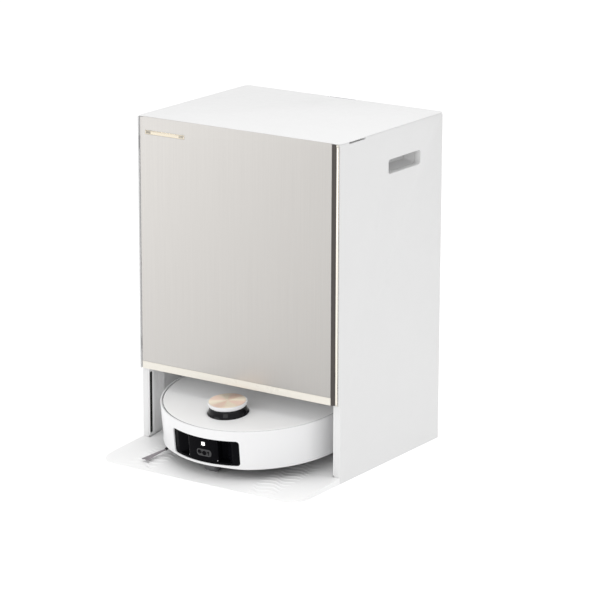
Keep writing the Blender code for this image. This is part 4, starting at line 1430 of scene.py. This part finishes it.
def make_turret():
    place = joint_place("lidar_spin")
    at = (place.x, place.y, 0)
    low, high = local_span("lidar_window")
    cap_low, cap_high = local_span("lidar_cap")
    disc_low, disc_high = local_span("cap_disc")
    foot = SIDE_HIGH
    band = rounded(
        [
            (31.4, low.z),
            (31.4, high.z),
            (32.6, high.z),
            (33.2, high.z - 4),
            (35.4, foot + 2.6),
            (37.2, foot + 0.4),
            (37.3, foot - 0.8),
            (37.3, low.z),
        ],
        [0.3, 0.3, 0.3, 3, 6, 0.4, 0.3, 0.3],
        5,
    )
    robot_piece("lidar_band", lathe(band, 128), "robot", GLOSS, ["lidar_window"], at=at)
    collar = rounded(
        [
            (37.1, foot - 2.5), (38.95, foot - 2.5), (38.95, foot - 0.2), (38.6, foot - 0.1),
            (37.1, foot - 0.5)
        ],
        0.15, 2
    )
    robot_piece("turret_collar", lathe(collar, 128), "robot", ROBOT_WHITE_PAINTED_DARKER, at=at)
    bottom, top = cap_low.z - 2.0, cap_high.z + 0.2
    cap = rounded(
        [
            (0, bottom), (31.5, bottom), (34.6, bottom + 3.6), (35.4, top - 1.2), (35.2, top + 0.2),
            (34.0, top + 0.5), (33.1, top), (0, top)
        ],
        [0, 1.0, 3.0, 1.5, 0.4, 0.4, 0.2, 0],
        5,
    )
    robot_piece(
        "lidar_cap_moulded", lathe(cap, 128), "robot", ROBOT_WHITE_PAINTED_DARKER, ["lidar_cap"], at=at
    )
    disc = rounded(
        [
            (0, disc_low.z), (32.9, disc_low.z), (32.9, disc_high.z - 0.1), (32.6, disc_high.z),
            (0, disc_high.z)
        ],
        [0, 0.1, 0.2, 0.2, 0], 3
    )
    # The disc's colour carries a painted highlight in wedges around its middle.
    robot_piece("cap_disc_brushed", lathe(disc, 160), "robot", ROSE_GOLD, ["cap_disc"], at=at)
    low, high = local_span("lidar_rotor")
    rotor = lathe(rounded([(0, low.z), (28, low.z), (28, high.z), (0, high.z)], [0, 1, 1, 0], 3), 96)
    rotor = boolean(rotor, [bar(rectangle(22, 6, 2, (0, (low.z + high.z) / 2)), -40, -20, "y")])
    eyes = [
        rod(2.6, (x, -24, (low.z + high.z) / 2), (x, -19.5, (low.z + high.z) / 2), 20, 0.5) for x in (-6, 6)
    ]
    robot_piece(
        "lidar_rotor_turned", merged(soft(rotor, 0.3, 1, 50), *eyes), "lidar", DARK,
        ["lidar_rotor"], at=at
    )


def make_robot_insides():
    refined("chassis", "robot", BLACK, 0.8, 2)
    refined("dust_bin", "robot", CLEAR, 0.8, 2)
    refined("battery", "robot", DARK, 0.8, 2)
    refined("vacuum_fan", "robot", DARK, 0.8, 2)


# ---------------------------------------------------------------- robot: running gear


def make_wheel(side, sign):
    refined("drive_unit_" + side, "drive_" + side, BLACK, 1.2, 2)
    place = joint_place(f"wheel_{side}_spin")
    low, high = local_span("wheel_" + side)
    radius = (high.z - low.z) / 2
    half = (high.x - low.x) / 2
    turn = Matrix.Rotation(math.radians(90), 4, "Y")
    tyre = lathe(
        rounded(
            [
                (radius - 7, -half), (radius - 2, -half), (radius - 1.6, -half + 3),
                (radius - 1.6, half - 3), (radius - 2, half), (radius - 7, half)
            ],
            [1, 1.5, 1.0, 1.0, 1.5, 1],
            4,
        ),
        96,
    )
    parts = [moved(tyre, turn=turn)]
    for index in range(28):
        for lane, lean in ((-1, 0.5), (1, -0.5)):
            lug = block((-half * 0.46, -1.7, radius - 2.4), (half * 0.46, 1.7, radius), 0.5, 1)
            spin = Matrix.Rotation(2 * math.pi * (index + 0.25 * lane) / 28, 4, "X")
            tilt = Matrix.Rotation(lean, 4, "Z")
            parts.append(moved(moved(lug, turn=tilt), (lane * half * 0.47, 0, 0), None))
            parts[-1].transform(spin)
    robot_piece(f"tyre_{side}", merged(*parts), "wheel_" + side, TYRE, ["wheel_" + side], at=place)
    hub = [
        moved(
            lathe(
                rounded(
                    [
                        (0, -half + 1.5), (radius - 6.8, -half + 1.5), (radius - 6.8, half - 1.5),
                        (0, half - 1.5)
                    ],
                    [0, 1.2, 1.2, 0], 3
                ),
                64
            ),
            turn=turn
        )
    ]
    for index in range(6):
        spoke = block(
            (sign * half - sign * 1.8 - 0.7, -2, 7), (sign * half - sign * 1.8 + 0.7, 2, radius - 8), 0.5,
            1
        )
        hub.append(moved(spoke, turn=Matrix.Rotation(index * math.pi / 3, 4, "X")))
    hub.append(
        moved(
            lathe(
                rounded([(0, half - 2), (6, half - 2), (6, half - 0.3), (0, half - 0.3)], [0, 0, 1, 0], 3),
                32
            ),
            turn=Matrix.Rotation(math.radians(90) * sign, 4, "Y")
        )
    )
    robot_piece(f"hub_{side}", merged(*hub), "wheel_" + side, DARK, at=place)


def make_side_brush():
    """A hub with two soft arms, each ending in a fan of bristles."""
    place = joint_place("side_brush_spin")
    low, high = local_span("side_brush")
    reach = max(
        (
            v.co - Vector(JOINTS["side_brush_spin"]["pos_m"])
        ).length for v in frame["nodes"]["side_brush"].data.vertices
    ) / MM
    hub = lathe(
        rounded(
            [
                (0, -4), (12.5, -4), (14, -2), (14, 1.8), (9, 3.4), (5, 3.4), (5, high.z - place.z),
                (0, high.z - place.z)
            ],
            [0, 1.5, 1, 1, 1, 0.5, 0.5, 0], 3
        ),
        48,
    )
    lead = math.atan2(-75, -14)
    arms = [hub]
    bristles = []
    for index in range(2):
        heading = lead + index * math.pi
        along = Vector((math.cos(heading), math.sin(heading), 0))
        across = Vector((-math.sin(heading), math.cos(heading), 0))
        root = 22.0
        knots = [along * 8, along * 18 + Vector((0, 0, -0.6)), along * root + Vector((0, 0, -1.4))]
        arms.append(tube(smooth_path(knots, 6), 2.6, 12))
        for k in range(46):
            spread = (k / 45 - 0.5) * 2
            lift = random.uniform(-0.9, 0.9)
            length = reach - random.uniform(0.6, 4.0)
            end = along * length * math.cos(spread * 0.085) + across * (spread * 7.2 + 1.5 * spread**2)
            path = [
                along * (root - 3) + across * spread * 1.2 + Vector((0, 0, -1.3 + lift * 0.5)),
                along * (root + 22) + across * spread * 3.4 + Vector((0, 0, -1.6 + lift * 0.6)),
                end + Vector((0, 0, -2.1 + lift * 0.5)),
            ]
            bristles.append(tube(smooth_path(path, 4), 0.5, 5))
    robot_piece(
        "side_brush_hub", merged(*arms), "side_brush", BLACK, ["side_brush"], at=place
    )
    robot_piece("side_brush_bristles", merged(*bristles), "side_brush", NYLON, at=place)


def make_roller():
    place = joint_place("main_brush_spin")
    low, high = local_span("main_brush")
    length = high.x - low.x - 10
    radius = (high.z - low.z) / 2
    turn = Matrix.Rotation(math.radians(90), 4, "Y")
    core = lathe(
        rounded([(0, -length / 2), (12, -length / 2), (12, length / 2), (0, length / 2)], [0, 1, 1, 0], 3),
        48
    )
    shapes = [moved(core, turn=turn), rod(4, (low.x, 0, 0), (high.x, 0, 0), 20, 0.5)]
    for index in range(6):
        rows, back = [], []
        for i in range(49):
            t = i / 48
            x = (t - 0.5) * (length - 2)
            angle = index * math.pi / 3 + 1.1 * (1 - abs(2 * t - 1))
            side = Vector((0, -math.sin(angle), math.cos(angle)))
            wide = Vector((0, math.cos(angle), math.sin(angle))) * 0.9
            rows.append(
                [Vector((x, 0, 0)) + side * r + wide * w for r, w in ((11.0, 1.6), (radius - 0.2, 0.8))]
            )
            back.append(
                [Vector((x, 0, 0)) + side * r - wide * w for r, w in ((11.0, 1.6), (radius - 0.2, 0.8))]
            )
        shapes.append(surface(rows, back))
    robot_piece(
        "main_brush_finned", merged(*shapes), "main_brush", RUBBER, ["main_brush"], at=place
    )


def make_caster():
    fork = refined("caster_fork", "caster", BLACK, 0.5, 2)
    place = joint_place("caster_roll")
    low, high = local_span("caster_wheel")
    radius, half = (high.z - low.z) / 2, (high.x - low.x) / 2
    wheel = lathe(
        rounded(
            [
                (0, -half), (radius - 3, -half), (radius, -half + 3), (radius, half - 3),
                (radius - 3, half), (0, half)
            ],
            [0, 1, 2, 2, 1, 0], 4
        ), 64
    )
    groove = [moved(wheel, turn=Matrix.Rotation(math.radians(90), 4, "Y"))]
    robot_piece(
        "caster_wheel_turned", merged(*groove), "caster_wheel", DARK, ["caster_wheel"],
        at=place
    )
    return fork


def make_mop(side):
    """A plate with a fleece pad: a rounded disc with a slightly scalloped rim."""
    place = joint_place(f"mop_{side}_spin")
    low, high = local_span("mop_" + side)
    radius = (high.x - low.x) / 2
    base = low.z - place.z
    top = base + 7
    plate = lathe(
        rounded(
            [
                (0, top - 2.2), (radius - 6, top - 2.2), (radius - 5, top), (22, top), (18, top + 3),
                (6, top + 3), (6, high.z - place.z), (0, high.z - place.z)
            ],
            [0, 0.6, 0.6, 2, 1, 1, 0.5, 0], 3
        ),
        72,
    )
    robot_piece(f"mop_plate_{side}", plate, "mop_" + side, INNER, at=place)
    pad = lathe(
        rounded(
            [
                (0, base), (radius - 0.2, base), (radius - 0.2, top - 2.0), (radius - 5, top - 2.0),
                (0, top - 2.3)
            ],
            [0, 2.6, 1.6, 1, 0], 5
        ),
        144
    )
    for vert in pad.verts:
        at = vert.co / MM
        reach = math.hypot(at.x, at.y)
        angle = math.atan2(at.y, at.x)
        if reach > radius * 0.6:
            pull = 1 - 0.008 * (1 + math.cos(angle * 24)) * (reach / radius) ** 4
            vert.co.x *= pull
            vert.co.y *= pull
    made = robot_piece(
        f"mop_pad_{side}", pad, "mop_" + side, FLEECE, ["mop_" + side], angle=60, at=place
    )


# ---------------------------------------------------------------- everything


def build():
    make_camera()
    make_floor()
    make_light()
    make_shell()
    make_lid()
    make_tray()
    make_wash_board()
    make_bay()
    make_fascia()
    make_tank("clean_tank", -1, CLEAR)
    make_tank("dirty_tank", 1, DARK_CLEAR)
    make_dust_bag()
    make_motor_parts()
    make_door()
    make_jamb()
    make_bumper()
    make_sensor_window()
    make_shells()
    make_turret()
    make_robot_insides()
    make_side_brush()
    make_roller()
    make_caster()
    for side, sign in (("left", -1), ("right", 1)):
        make_handle_cup(side, sign)
        make_liner(side, sign)
        make_wheel(side, sign)
        make_mop(side)


build()
